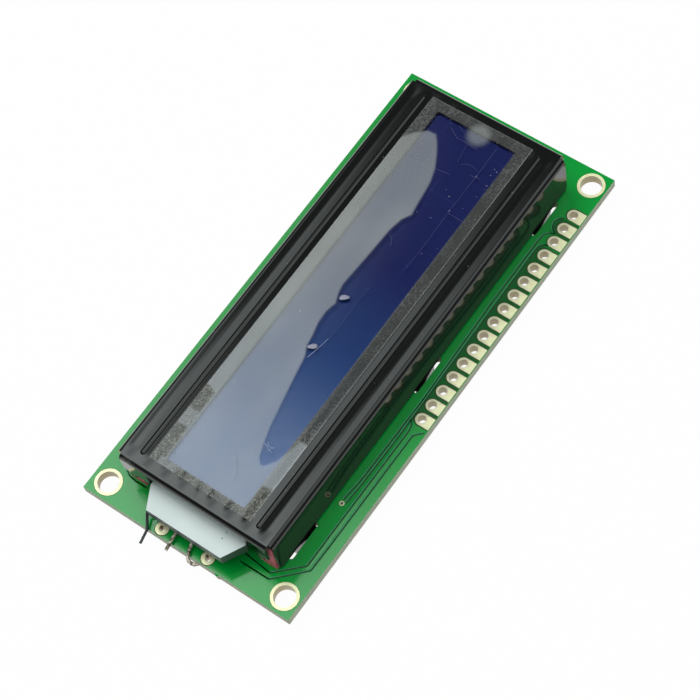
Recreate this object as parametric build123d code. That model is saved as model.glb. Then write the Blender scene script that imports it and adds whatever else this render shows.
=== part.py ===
"""Two-line character LCD module on a green printed board, in millimetres.

The origin is the centre of the four mounting holes, on the board's front face.
+X points to the backlight's tongue, +Y to the header pads and +Z out of the display.
"""
from build123d import *
from math import asin, degrees
import os

# Mounting holes, outside the bezel's corners
HOLE_FROM_BEZEL_END = 1.75
HOLE_FROM_BEZEL_SIDE = 2.1
HOLE_RADIUS = 1.6
HOLE_RING_WIDTH = 0.45

# Printed board, whose edges stand outside the mounting holes
BOARD_END_MARGIN = 2.5
BOARD_SIDE_MARGIN = 2.5
BOARD_SHIFT_Y = -0.12
BOARD_THICKNESS = 1.6
COPPER = 0.04
BARREL_WALL = 0.05

# Header pads along the +Y edge
HEADER_COUNT = 16
HEADER_PITCH = 2.54
HEADER_FIRST_FROM_END = 8.0
HEADER_ROW_FROM_EDGE = 1.8
HEADER_HOLE_RADIUS = 0.62
HEADER_PAD_WIDTH = 1.9
HEADER_PAD_INSET = 0.12

# Backlight pads beside the +X edge
LAMP_PAD_SPACING = 8.05
LAMP_PAD_FROM_EDGE = 1.15
LAMP_PAD_SHIFT_Y = -0.6
LAMP_PAD_RADIUS = 1.0
LAMP_HOLE_RADIUS = 0.45

# Bezel of pressed steel sheet
BEZEL_LENGTH = 71.5
BEZEL_WIDTH = 26.8
BEZEL_SHEET = 0.35
BEZEL_INNER_BEND = 0.45
BEZEL_SHIFT_X = -0.28
BEZEL_SHIFT_Y = -0.4
BEZEL_CLEARANCE = 0.1
CORNER_GAP = 0.8
SKIRT_LIFT = 0.3
SKIRT_CORNER = 0.8
END_SKIRT_DEPTH = 3.85
END_LEG_WIDTH = 1.2
END_LEG_DROP = 1.0
END_LEG_FROM_SIDE = 2.3
WINDOW_END_BAND = 3.4
WINDOW_WIDTH = 13.5
WINDOW_CORNER = 0.5

# Beads pressed up beside the film
BEAD_END_BAND = 2.0
BEAD_FROM_FILM = 1.3
BEAD_WIDTH = 0.9
BEAD_HEIGHT = 0.2

# Twisted tabs and their slots on each long side, with the way each tab turns from the far end on
TAB_TWISTS = (1, 1, -1)
TAB_FROM_END = 6.25
TAB_WIDTH = 4.4
TAB_REACH = 1.5
TAB_TURN = 42.0
TAB_TWIST_STEPS = 3
TAB_SLIP = 0.55
TAB_SLOT_MARGIN = 0.07
SLOT_CLEARANCE = 0.3
SLOT_END_CLEARANCE = 1.0
SLOT_OFFSET_X = 0.38

# Protective film, which laps over the window's edges
FILM_END_LAP = 1.45
FILM_SIDE_LAP = 1.95
FILM_THICKNESS = 0.08
FILM_SHIFT_X = -0.3
FILM_SHIFT_Y = -0.1

# Liquid crystal cell
GLASS_THICKNESS = 1.05
GLASS_CLEARANCE = 0.4
REAR_GLASS_GAP = 0.6
CELL_GAP = 0.05
SEAL_WIDTH = 1.0
SEAL_INSET = 0.4
FILL_PORT_WIDTH = 5.0
FILL_PORT_CLEARANCE = 0.15
POLARISER_THICKNESS = 0.2
POLARISER_INSET = 0.5

# Elastomer connectors and the fingers under them
ELASTOMER_WIDTH = 2.0
ELASTOMER_CLEARANCE = 0.2
ELASTOMER_END_GAP = 0.35
FOOT_LENGTH = 1.2
FOOT_SPREAD = 0.9
FOOT_REACH = 0.15
FOOT_HEIGHT = 3.2
FINGER_PITCH = 1.2
FINGER_WIDTH = 0.7
FINGER_MARGIN = 0.1
FINGER_SLOT_CLEARANCE = 0.15

# Backlight tray and its tongue
HOUSING_HEIGHT = 4.9
HOUSING_FOOT_CLEARANCE = 0.37
HOUSING_FAR_GAP = 2.48
HOUSING_SIDE_GAP = 1.05
HOUSING_WALL = 1.0
HOUSING_FLOOR = 0.9
TONGUE_REACH = 5.6
TONGUE_STRAIGHT = 2.27
TONGUE_SHIFT_Y = 0.07
TONGUE_STEP_DOWN = 0.6
TONGUE_SIDE_GAP = 1.7
TONGUE_TAPER = 1.8
TONGUE_THICKNESS = 2.0
TONGUE_CLEARANCE = 0.15
TONGUE_OPENING_BAND = 1.0
REFLECTOR_THICKNESS = 0.15
DIFFUSER_THICKNESS = 0.15
SHEET_CLEARANCE = 0.1

# Lamps on their carrier
LED_COUNT = 3
LED_PITCH = 4.0
LED_WIDTH = 2.6
LED_DEPTH = 0.8
LED_HEIGHT = 0.7
CARRIER_END_MARGIN = 0.5
CARRIER_WIDTH = 3.2
CARRIER_THICKNESS = 0.6
CARRIER_CLEARANCE = 0.05

# Loose leads: where each leaves the carrier, and its points from there, as out, across and up
LEAD_RADIUS = 0.22
STRAIGHT_LEAD_Y = -2.6
STRAIGHT_LEAD_ROUTE = [(6.24, 0.55, 0.0)]
SIDE_LEAD_Y = -5.5
SIDE_LEAD_ROUTE = [(3.3, -1.7, 0.8), (5.14, -0.8, 0.0), (7.44, -0.35, 0.0)]
HOOK_LEAD_Y = -0.3
HOOK_LEAD_ROUTE = [(4.14, 0.7, 0.0), (5.79, 1.5, 0.0), (5.89, 3.0, 0.0), (5.24, 3.15, 0.0)]

# Chips and chip parts on the rear
CONTROLLER_BLOB_RADIUS = 6.6
DRIVER_BLOB_RADIUS = 5.6
BLOB_HEIGHT = 1.25
CONTROLLER_FROM_END = 25.0
DRIVER_FROM_END = 26.0
BLOB_Y = 1.5
CHIP_LENGTH = 2.0
CHIP_WIDTH = 1.25
RESISTOR_HEIGHT = 0.5
CAPACITOR_HEIGHT = 0.85
CHIP_END_WIDTH = 0.35
RESISTOR_COUNT = 7
RESISTOR_PITCH = 2.6
RESISTOR_ROW_X = -7.8
RESISTOR_ROW_Y = -8.6
CAPACITOR_COUNT = 2
CAPACITOR_PITCH = 8.0
CAPACITOR_ROW_FROM_END = 15.0
CAPACITOR_ROW_Y = -4.0

# Levels above the board's front face, worked out from the stack
REAR_POLARISER_Z = HOUSING_HEIGHT
REAR_GLASS_Z = REAR_POLARISER_Z + POLARISER_THICKNESS
CELL_Z = REAR_GLASS_Z + GLASS_THICKNESS
FRONT_GLASS_Z = CELL_Z + CELL_GAP
FRONT_POLARISER_Z = FRONT_GLASS_Z + GLASS_THICKNESS
BEZEL_UNDERSIDE = FRONT_POLARISER_Z + POLARISER_THICKNESS + BEZEL_CLEARANCE
BEZEL_HEIGHT = BEZEL_UNDERSIDE + BEZEL_SHEET
END_SKIRT_LIFT = BEZEL_HEIGHT - END_SKIRT_DEPTH
TONGUE_OPENING_TOP = BEZEL_HEIGHT - TONGUE_OPENING_BAND
TONGUE_TOP = HOUSING_HEIGHT - TONGUE_STEP_DOWN
TONGUE_BOTTOM = TONGUE_TOP - TONGUE_THICKNESS
LIGHT_GUIDE_Z = HOUSING_FLOOR + REFLECTOR_THICKNESS
DIFFUSER_Z = HOUSING_HEIGHT - DIFFUSER_THICKNESS
BOARD_BACK = -BOARD_THICKNESS
THROUGH = 2 * BEZEL_HEIGHT

# Holes, board and pads, worked out from the sizes
HOLE_SPACING_X = BEZEL_LENGTH + 2 * HOLE_FROM_BEZEL_END
HOLE_SPACING_Y = BEZEL_WIDTH + 2 * HOLE_FROM_BEZEL_SIDE
BOARD_LENGTH = HOLE_SPACING_X + 2 * BOARD_END_MARGIN
BOARD_WIDTH = HOLE_SPACING_Y + 2 * BOARD_SIDE_MARGIN
BOARD_CENTRE = Pos(0, BOARD_SHIFT_Y, 0)
HEADER_PAD_Y = BOARD_WIDTH / 2 - HEADER_ROW_FROM_EDGE
HEADER_FIRST_X = -BOARD_LENGTH / 2 + HEADER_FIRST_FROM_END
LAMP_PAD_X = BOARD_LENGTH / 2 - LAMP_PAD_FROM_EDGE
CAPACITOR_ROW_X = BOARD_LENGTH / 2 - CAPACITOR_ROW_FROM_END
CONTROLLER_X = CONTROLLER_FROM_END - BOARD_LENGTH / 2
DRIVER_X = BOARD_LENGTH / 2 - DRIVER_FROM_END

# Bezel, film and tabs, worked out from the sizes
BEZEL_CENTRE = Pos(BEZEL_SHIFT_X, BOARD_SHIFT_Y + BEZEL_SHIFT_Y, 0)
BEZEL_INSIDE_LENGTH = BEZEL_LENGTH - 2 * BEZEL_SHEET
BEZEL_INSIDE_WIDTH = BEZEL_WIDTH - 2 * BEZEL_SHEET
SKIRT_PLANE_Y = BEZEL_WIDTH / 2 - BEZEL_SHEET / 2
WINDOW_LENGTH = BEZEL_LENGTH - 2 * WINDOW_END_BAND
FILM_LENGTH = WINDOW_LENGTH + 2 * FILM_END_LAP
FILM_WIDTH = WINDOW_WIDTH + 2 * FILM_SIDE_LAP
BEAD_LENGTH = BEZEL_LENGTH - 2 * BEAD_END_BAND
BEAD_SPACING = FILM_WIDTH + 2 * BEAD_FROM_FILM
TABS_PER_SIDE = len(TAB_TWISTS)
TAB_PITCH = (BEZEL_LENGTH - 2 * TAB_FROM_END) / (TABS_PER_SIDE - 1)
TAB_NECK = SKIRT_LIFT + BOARD_THICKNESS
TAB_TURN_IN_SLOT = degrees(asin(2 * (SLOT_CLEARANCE - TAB_SLOT_MARGIN) / TAB_WIDTH))
SLOT_LENGTH = TAB_WIDTH + 2 * SLOT_END_CLEARANCE
SLOT_WIDTH = BEZEL_SHEET + 2 * SLOT_CLEARANCE

# Cell, connectors and backlight, worked out from the sizes
ELASTOMER_Y = BEZEL_INSIDE_WIDTH / 2 - ELASTOMER_CLEARANCE - ELASTOMER_WIDTH / 2
ELASTOMER_INNER_Y = ELASTOMER_Y - ELASTOMER_WIDTH / 2
ELASTOMER_LENGTH = BEZEL_INSIDE_LENGTH - 2 * ELASTOMER_END_GAP
FINGER_INNER_Y = ELASTOMER_INNER_Y - FINGER_MARGIN
FINGER_OUTER_Y = SKIRT_PLANE_Y - SLOT_WIDTH / 2 - FINGER_SLOT_CLEARANCE
GLASS_LENGTH = BEZEL_INSIDE_LENGTH - 2 * GLASS_CLEARANCE
FRONT_GLASS_WIDTH = BEZEL_INSIDE_WIDTH - 2 * GLASS_CLEARANCE
REAR_GLASS_WIDTH = 2 * (ELASTOMER_INNER_Y - REAR_GLASS_GAP)
FILL_PORT_DEPTH = GLASS_CLEARANCE - FILL_PORT_CLEARANCE
HOUSING_NEAR_GAP = ELASTOMER_END_GAP + FOOT_LENGTH + HOUSING_FOOT_CLEARANCE
HOUSING_LENGTH = BEZEL_INSIDE_LENGTH - HOUSING_NEAR_GAP - HOUSING_FAR_GAP
HOUSING_WIDTH = 2 * (ELASTOMER_INNER_Y - HOUSING_SIDE_GAP)
HOUSING_END_X = BEZEL_SHIFT_X + BEZEL_INSIDE_LENGTH / 2 - HOUSING_NEAR_GAP
HOUSING_CENTRE_X = HOUSING_END_X - HOUSING_LENGTH / 2
GUIDE_END_X = HOUSING_END_X - HOUSING_WALL
TONGUE_WIDTH = 2 * (ELASTOMER_INNER_Y - FOOT_SPREAD - TONGUE_SIDE_GAP)
TONGUE_TIP_WIDTH = TONGUE_WIDTH - 2 * TONGUE_TAPER
CARRIER_LENGTH = (LED_COUNT - 1) * LED_PITCH + LED_WIDTH + 2 * CARRIER_END_MARGIN
LEAD_ROOT_X = GUIDE_END_X + CARRIER_WIDTH - 2 * LEAD_RADIUS
LEAD_LIE_Z = COPPER + 2 * LEAD_RADIUS

ON_BASE = (Align.CENTER, Align.CENTER, Align.MIN)
FROM_NEAR_END = (Align.MIN, Align.CENTER, Align.MIN)


def slab(length, width, low, high):
    """Return a centred block between two levels."""
    return Pos(0, 0, low) * Box(length, width, high - low, align=ON_BASE)


def post(radius, low, high):
    """Return an upright cylinder between two levels."""
    return Pos(0, 0, low) * Cylinder(radius, high - low, align=ON_BASE)


def row_places(count, pitch):
    """Return the places of a centred row, measured along it."""
    return [(index - (count - 1) / 2) * pitch for index in range(count)]


def mounting_places():
    """Return the four mounting holes' centres."""
    return list(GridLocations(HOLE_SPACING_X, HOLE_SPACING_Y, 2, 2))


def header_places():
    """Return the header holes' centres."""
    y = BOARD_SHIFT_Y + HEADER_PAD_Y
    return [Pos(HEADER_FIRST_X + index * HEADER_PITCH, y, 0) for index in range(HEADER_COUNT)]


def lamp_places():
    """Return the backlight holes' centres."""
    y = BOARD_SHIFT_Y + LAMP_PAD_SHIFT_Y
    return [Pos(LAMP_PAD_X, y + step, 0) for step in row_places(2, LAMP_PAD_SPACING)]


def slot_places():
    """Return the middles of the tab slots, in the long skirts' middle planes."""
    middle_x = BEZEL_SHIFT_X + SLOT_OFFSET_X
    y = BOARD_SHIFT_Y + BEZEL_SHIFT_Y
    places = []
    for side in (-1, 1):
        for step in row_places(TABS_PER_SIDE, TAB_PITCH):
            places.append(Pos(middle_x + step, y + side * SKIRT_PLANE_Y, 0))
    return places


def circuit_board():
    """Return the laminate with its drilled holes and tab slots."""
    board = BOARD_CENTRE * slab(BOARD_LENGTH, BOARD_WIDTH, BOARD_BACK, 0)
    drills = [(mounting_places(), HOLE_RADIUS), (header_places(), HEADER_HOLE_RADIUS)]
    drills.append((lamp_places(), LAMP_HOLE_RADIUS))
    for places, radius in drills:
        for place in places:
            board -= place * post(radius + BARREL_WALL, BOARD_BACK, 0)
    slot = Pos(0, 0, BOARD_BACK) * extrude(SlotOverall(SLOT_LENGTH, SLOT_WIDTH), BOARD_THICKNESS)
    for place in slot_places():
        board -= place * slot
    return board


def plated_hole(pad, hole_radius):
    """Return one pad on both faces of the board, joined by the plated barrel."""
    front = extrude(pad, COPPER)
    back = Pos(0, 0, BOARD_BACK - COPPER) * extrude(pad, COPPER)
    barrel = post(hole_radius + BARREL_WALL, BOARD_BACK, 0)
    bore = post(hole_radius, BOARD_BACK - COPPER, COPPER)
    return front + barrel + back - bore


def header_pad_outline():
    """Return one header pad: a round inner end and a square end at the board's edge."""
    tail_length = HEADER_ROW_FROM_EDGE - HEADER_PAD_INSET
    tail = Pos(0, tail_length / 2) * Rectangle(HEADER_PAD_WIDTH, tail_length)
    return tail + Circle(HEADER_PAD_WIDTH / 2)


def mounting_hole_pads():
    """Return the four plated mounting rings."""
    ring = plated_hole(Circle(HOLE_RADIUS + HOLE_RING_WIDTH), HOLE_RADIUS)
    return [place * ring for place in mounting_places()]


def header_pads():
    """Return the sixteen plated header pads."""
    pad = plated_hole(header_pad_outline(), HEADER_HOLE_RADIUS)
    return [place * pad for place in header_places()]


def backlight_pads():
    """Return the two plated backlight pads."""
    pad = plated_hole(Circle(LAMP_PAD_RADIUS), LAMP_HOLE_RADIUS)
    return [place * pad for place in lamp_places()]


def contact_fingers(side):
    """Return the plated fingers under the elastomer on one side."""
    count = int(ELASTOMER_LENGTH / FINGER_PITCH)
    finger = slab(FINGER_WIDTH, FINGER_OUTER_Y - FINGER_INNER_Y, 0, COPPER)
    row = BEZEL_CENTRE * Pos(0, side * (FINGER_INNER_Y + FINGER_OUTER_Y) / 2, 0)
    return [row * Pos(step, 0, 0) * finger for step in row_places(count, FINGER_PITCH)]


def folded_sheet():
    """Return the bezel's folded top and skirts, before anything is cut out."""
    outer = slab(BEZEL_LENGTH, BEZEL_WIDTH, SKIRT_LIFT, BEZEL_HEIGHT)
    outer = fillet(outer.edges().group_by(Axis.Z)[-1], BEZEL_INNER_BEND + BEZEL_SHEET)
    inner = slab(BEZEL_INSIDE_LENGTH, BEZEL_INSIDE_WIDTH, SKIRT_LIFT, BEZEL_UNDERSIDE)
    inner = fillet(inner.edges().group_by(Axis.Z)[-1], BEZEL_INNER_BEND)
    return outer - inner


def end_skirt_trim(side):
    """Return what is cut from below an end skirt, leaving its two short legs."""
    face_x = side * (BEZEL_LENGTH - BEZEL_SHEET) / 2
    depth = 2 * BEZEL_SHEET
    trim = Pos(face_x, 0, 0) * slab(depth, BEZEL_WIDTH, 0, END_SKIRT_LIFT)
    leg_y = BEZEL_WIDTH / 2 - END_LEG_FROM_SIDE
    for end in (-1, 1):
        leg = slab(depth, END_LEG_WIDTH, END_SKIRT_LIFT - END_LEG_DROP, END_SKIRT_LIFT)
        trim -= Pos(face_x, end * leg_y, 0) * leg
    return trim


def tongue_opening():
    """Return what is cut from the near end skirt to let the tongue out."""
    width = TONGUE_WIDTH + 2 * TONGUE_CLEARANCE
    near_face = (BEZEL_LENGTH - BEZEL_SHEET) / 2
    opening = slab(2 * BEZEL_SHEET, width, 0, TONGUE_OPENING_TOP)
    return Pos(near_face, TONGUE_SHIFT_Y - BEZEL_SHIFT_Y, 0) * opening


def bead(base):
    """Return one long round-ended bead that stands on a level."""
    radius = (BEAD_WIDTH ** 2 / 4 + BEAD_HEIGHT ** 2) / (2 * BEAD_HEIGHT)
    length = BEAD_LENGTH - BEAD_WIDTH
    ridge = Rot(Y=90) * Cylinder(radius, length)
    for end in (-1, 1):
        ridge += Pos(end * length / 2, 0, 0) * Sphere(radius)
    above = slab(BEAD_LENGTH, 2 * radius, base - BEZEL_SHEET / 2, base + BEAD_HEIGHT)
    return (Pos(0, 0, base + BEAD_HEIGHT - radius) * ridge) & above


def twisted_tab(way):
    """Return one tab, straight through its slot and twisted one way or the other behind the board."""
    blade = Rectangle(TAB_WIDTH, BEZEL_SHEET)
    sections = [blade]
    for step in range(TAB_TWIST_STEPS + 1):
        share = step / TAB_TWIST_STEPS
        turn = way * (TAB_TURN_IN_SLOT + share * (TAB_TURN - TAB_TURN_IN_SLOT))
        sections.append(Pos(0, 0, -TAB_NECK - share * TAB_REACH) * Rot(Z=turn) * blade)
    return loft(sections, ruled=True)


def bezel():
    """Return the pressed steel bezel with its window, beads, skirts and tabs."""
    sheet = folded_sheet()
    corner = slab(2 * CORNER_GAP, 2 * CORNER_GAP, 0, THROUGH)
    for place in GridLocations(BEZEL_LENGTH, BEZEL_WIDTH, 2, 2):
        sheet -= place * corner
    for side in (-1, 1):
        sheet -= end_skirt_trim(side)
    skirt_ends = sheet.edges().filter_by(Axis.Y).group_by(Axis.Z)[0]
    sheet = fillet(skirt_ends, SKIRT_CORNER)
    sheet -= tongue_opening()
    sheet -= extrude(RectangleRounded(WINDOW_LENGTH, WINDOW_WIDTH, WINDOW_CORNER), THROUGH)
    for side in (-1, 1):
        line = Pos(0, side * BEAD_SPACING / 2, 0)
        sheet += line * bead(BEZEL_HEIGHT)
        sheet -= line * bead(BEZEL_UNDERSIDE)
    sheet = BEZEL_CENTRE * sheet
    for place, way in zip(slot_places(), TAB_TWISTS + TAB_TWISTS):
        sheet += place * Pos(way * TAB_SLIP, 0, SKIRT_LIFT) * twisted_tab(way)
    return sheet


def protective_film():
    """Return the peel-off film that lies on the bezel over the window."""
    top = slab(FILM_LENGTH, FILM_WIDTH, BEZEL_HEIGHT, BEZEL_HEIGHT + FILM_THICKNESS)
    return BEZEL_CENTRE * Pos(FILM_SHIFT_X, FILM_SHIFT_Y, 0) * top


def glass(width, low):
    """Return one glass plate of the cell."""
    return BEZEL_CENTRE * slab(GLASS_LENGTH, width, low, low + GLASS_THICKNESS)


def polariser(width, low):
    """Return one polariser sheet, set in from the edges of its glass."""
    length = GLASS_LENGTH - 2 * POLARISER_INSET
    sheet = slab(length, width - 2 * POLARISER_INSET, low, low + POLARISER_THICKNESS)
    return BEZEL_CENTRE * sheet


def cell_seal():
    """Return the seal round the liquid crystal, open at the fill port."""
    length = GLASS_LENGTH - 2 * SEAL_INSET
    width = REAR_GLASS_WIDTH - 2 * SEAL_INSET
    ring = slab(length, width, CELL_Z, FRONT_GLASS_Z)
    ring -= slab(length - 2 * SEAL_WIDTH, width - 2 * SEAL_WIDTH, CELL_Z, FRONT_GLASS_Z)
    port = slab(2 * SEAL_WIDTH, FILL_PORT_WIDTH, CELL_Z, FRONT_GLASS_Z)
    return BEZEL_CENTRE * (ring - Pos(-length / 2, 0, 0) * port)


def fill_port_plug():
    """Return the cured drop that closes the fill port at the cell's far end."""
    outline = Rot(Z=90) * SlotOverall(FILL_PORT_WIDTH, 2 * FILL_PORT_DEPTH)
    low = CELL_Z - GLASS_THICKNESS / 2
    drop = Pos(0, 0, low) * extrude(outline, GLASS_THICKNESS + CELL_GAP)
    outside = Pos(-FILL_PORT_DEPTH, 0, 0) * slab(2 * FILL_PORT_DEPTH, FILL_PORT_WIDTH, 0, THROUGH)
    return BEZEL_CENTRE * Pos(-GLASS_LENGTH / 2, 0, 0) * (drop & outside)


def elastomer(side):
    """Return one soft connector strip, whose near end spreads into a foot."""
    strip = slab(ELASTOMER_LENGTH, ELASTOMER_WIDTH, COPPER, FRONT_GLASS_Z)
    end_x = ELASTOMER_LENGTH / 2
    wide = ELASTOMER_WIDTH + FOOT_SPREAD
    sole_centre = (end_x - FOOT_LENGTH / 2 + FOOT_REACH / 2, -side * FOOT_SPREAD / 2)
    sole = Pos(*sole_centre, COPPER) * Rectangle(FOOT_LENGTH + FOOT_REACH, wide)
    neck_centre = (end_x - FOOT_LENGTH / 2, 0)
    neck = Pos(*neck_centre, FOOT_HEIGHT) * Rectangle(FOOT_LENGTH, ELASTOMER_WIDTH)
    foot = loft([sole, neck], ruled=True)
    return BEZEL_CENTRE * Pos(0, side * ELASTOMER_Y, 0) * (strip + foot)


def tongue():
    """Return the tapered tongue at the housing's near end."""
    root = GUIDE_END_X
    shoulder = HOUSING_END_X + TONGUE_STRAIGHT
    tip = HOUSING_END_X + TONGUE_REACH
    half = TONGUE_WIDTH / 2
    tip_half = TONGUE_TIP_WIDTH / 2
    outline = [(root, -half), (shoulder, -half), (tip, -tip_half), (tip, tip_half)]
    outline += [(shoulder, half), (root, half)]
    face = make_face(Polyline(*outline, close=True))
    return Pos(0, TONGUE_SHIFT_Y, TONGUE_BOTTOM) * extrude(face, TONGUE_THICKNESS)


def carrier_place():
    """Return the place of the lamp carrier's inner edge in the tongue's underside."""
    return BOARD_CENTRE * Pos(GUIDE_END_X, TONGUE_SHIFT_Y, TONGUE_BOTTOM)


def led_places():
    """Return the places of the lamps on their carrier."""
    level = Pos(0, 0, CARRIER_THICKNESS)
    return [carrier_place() * level * Pos(0, step, 0) for step in row_places(LED_COUNT, LED_PITCH)]


def backlight_housing():
    """Return the white moulded tray with its tongue and the lamps' recess."""
    tray = Pos(HOUSING_CENTRE_X, 0, 0) * slab(HOUSING_LENGTH, HOUSING_WIDTH, 0, HOUSING_HEIGHT)
    tray = BOARD_CENTRE * (tray + tongue())
    cavity_length = HOUSING_LENGTH - 2 * HOUSING_WALL
    cavity_width = HOUSING_WIDTH - 2 * HOUSING_WALL
    cavity = slab(cavity_length, cavity_width, HOUSING_FLOOR, HOUSING_HEIGHT)
    tray -= BOARD_CENTRE * Pos(HOUSING_CENTRE_X, 0, 0) * cavity
    room = 2 * CARRIER_CLEARANCE
    recess = Box(CARRIER_WIDTH + room, CARRIER_LENGTH + room, CARRIER_THICKNESS, align=FROM_NEAR_END)
    tray -= carrier_place() * recess
    pocket = Box(LED_DEPTH + room, LED_WIDTH + room, LED_HEIGHT + CARRIER_CLEARANCE, align=FROM_NEAR_END)
    for place in led_places():
        tray -= place * pocket
    return tray


def tray_sheet(low, high):
    """Return one layer that lies in the tray."""
    length = HOUSING_LENGTH - 2 * HOUSING_WALL - SHEET_CLEARANCE
    width = HOUSING_WIDTH - 2 * HOUSING_WALL - 2 * SHEET_CLEARANCE
    return BOARD_CENTRE * Pos(GUIDE_END_X - length / 2, 0, 0) * slab(length, width, low, high)


def led_carrier():
    """Return the narrow board that carries the lamps."""
    strip = Box(CARRIER_WIDTH, CARRIER_LENGTH, CARRIER_THICKNESS, align=FROM_NEAR_END)
    return carrier_place() * Pos(CARRIER_CLEARANCE, 0, 0) * strip


def backlight_leds():
    """Return the lamps that shine into the light guide's end."""
    lamp = Box(LED_DEPTH, LED_WIDTH, LED_HEIGHT, align=FROM_NEAR_END)
    return [place * Pos(CARRIER_CLEARANCE, 0, 0) * lamp for place in led_places()]


def lead(y, route):
    """Return one bent wire that hangs from the carrier's underside and passes out over the board."""
    turn_z = (TONGUE_BOTTOM + LEAD_LIE_Z) / 2
    points = [(LEAD_ROOT_X, y, TONGUE_BOTTOM), (LEAD_ROOT_X, y, turn_z)]
    points += [(LEAD_ROOT_X + out, y + across, LEAD_LIE_Z + up) for out, across, up in route]
    path = Polyline(*points)
    section = Plane(origin=path @ 0, z_dir=path % 0) * Circle(LEAD_RADIUS)
    return BOARD_CENTRE * sweep(section, path=path, transition=Transition.RIGHT)


def backlight_leads():
    """Return the three loose leads at the board's near edge."""
    straight = lead(STRAIGHT_LEAD_Y, STRAIGHT_LEAD_ROUTE)
    side = lead(SIDE_LEAD_Y, SIDE_LEAD_ROUTE)
    hook = lead(HOOK_LEAD_Y, HOOK_LEAD_ROUTE)
    return [straight, side, hook]


def blob(radius, x):
    """Return one epoxy dome over a chip on the board's rear."""
    sphere_radius = (radius ** 2 + BLOB_HEIGHT ** 2) / (2 * BLOB_HEIGHT)
    ball = Pos(0, 0, BOARD_BACK - BLOB_HEIGHT + sphere_radius) * Sphere(sphere_radius)
    below = slab(2 * radius, 2 * radius, BOARD_BACK - BLOB_HEIGHT, BOARD_BACK)
    return BOARD_CENTRE * Pos(x, BLOB_Y, 0) * (ball & below)


def chip_row(count, pitch, x, y):
    """Return the places of a row of chip parts on the board's rear."""
    return [BOARD_CENTRE * Pos(x + step, y, BOARD_BACK) for step in row_places(count, pitch)]


def chip_bodies(places, height):
    """Return the chip parts' bodies, between their metal ends."""
    body = slab(CHIP_WIDTH, CHIP_LENGTH - 2 * CHIP_END_WIDTH, -height, 0)
    return [place * body for place in places]


def chip_ends(places, height):
    """Return the chip parts' metal ends, soldered to the board."""
    end = slab(CHIP_WIDTH, CHIP_END_WIDTH, -height, 0)
    offset = (CHIP_LENGTH - CHIP_END_WIDTH) / 2
    return [place * Pos(0, side * offset, 0) * end for place in places for side in (-1, 1)]


def write(name, shape):
    """Write one piece, or a group of like pieces, to its own file."""
    group = Compound(children=list(shape)) if isinstance(shape, list) else shape
    export_step(group, os.path.join("parts", name + ".step"))


def main():
    """Build every piece of the module and write it."""
    os.makedirs("parts", exist_ok=True)
    resistors = chip_row(RESISTOR_COUNT, RESISTOR_PITCH, RESISTOR_ROW_X, RESISTOR_ROW_Y)
    capacitors = chip_row(CAPACITOR_COUNT, CAPACITOR_PITCH, CAPACITOR_ROW_X, CAPACITOR_ROW_Y)
    write("circuit_board", circuit_board())
    write("mounting_hole_pads", mounting_hole_pads())
    write("header_pads", header_pads())
    write("backlight_pads", backlight_pads())
    write("contact_fingers_header_side", contact_fingers(1))
    write("contact_fingers_free_side", contact_fingers(-1))
    write("bezel", bezel())
    write("protective_film", protective_film())
    write("front_polariser", polariser(FRONT_GLASS_WIDTH, FRONT_POLARISER_Z))
    write("front_glass", glass(FRONT_GLASS_WIDTH, FRONT_GLASS_Z))
    write("cell_seal", cell_seal())
    write("fill_port_plug", fill_port_plug())
    write("rear_glass", glass(REAR_GLASS_WIDTH, REAR_GLASS_Z))
    write("rear_polariser", polariser(REAR_GLASS_WIDTH, REAR_POLARISER_Z))
    write("elastomer_header_side", elastomer(1))
    write("elastomer_free_side", elastomer(-1))
    write("diffuser_film", tray_sheet(DIFFUSER_Z, HOUSING_HEIGHT))
    write("light_guide", tray_sheet(LIGHT_GUIDE_Z, DIFFUSER_Z))
    write("reflector_film", tray_sheet(HOUSING_FLOOR, LIGHT_GUIDE_Z))
    write("backlight_housing", backlight_housing())
    write("led_carrier", led_carrier())
    write("backlight_leds", backlight_leds())
    write("backlight_leads", backlight_leads())
    write("controller_glob_top", blob(CONTROLLER_BLOB_RADIUS, CONTROLLER_X))
    write("driver_glob_top", blob(DRIVER_BLOB_RADIUS, DRIVER_X))
    write("resistor_bodies", chip_bodies(resistors, RESISTOR_HEIGHT))
    write("resistor_ends", chip_ends(resistors, RESISTOR_HEIGHT))
    write("capacitor_bodies", chip_bodies(capacitors, CAPACITOR_HEIGHT))
    write("capacitor_ends", chip_ends(capacitors, CAPACITOR_HEIGHT))


main()
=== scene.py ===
"""Dresses the character display module and adds the fine details that its solids leave out."""

import logging
import math
from dataclasses import dataclass
from enum import Enum

import bmesh
import bpy
from mathutils import Matrix, Vector, noise


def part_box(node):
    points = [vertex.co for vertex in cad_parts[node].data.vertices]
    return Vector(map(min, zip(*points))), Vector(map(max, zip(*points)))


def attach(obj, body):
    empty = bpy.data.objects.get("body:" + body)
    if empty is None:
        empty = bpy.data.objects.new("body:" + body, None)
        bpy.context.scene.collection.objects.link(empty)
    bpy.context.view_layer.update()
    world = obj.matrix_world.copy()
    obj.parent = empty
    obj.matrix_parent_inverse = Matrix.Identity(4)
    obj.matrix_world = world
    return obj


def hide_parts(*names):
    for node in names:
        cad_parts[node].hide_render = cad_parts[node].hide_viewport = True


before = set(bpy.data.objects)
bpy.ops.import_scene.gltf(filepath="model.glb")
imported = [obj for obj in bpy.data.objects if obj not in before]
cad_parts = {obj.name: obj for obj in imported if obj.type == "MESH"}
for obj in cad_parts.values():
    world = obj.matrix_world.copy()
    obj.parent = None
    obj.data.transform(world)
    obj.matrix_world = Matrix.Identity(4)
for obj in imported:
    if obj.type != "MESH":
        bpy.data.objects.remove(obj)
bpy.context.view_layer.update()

MM = 0.001
BODY = "root"
MADE: dict[str, bpy.types.Material] = {}
log = logging.getLogger("display_module")

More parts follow.
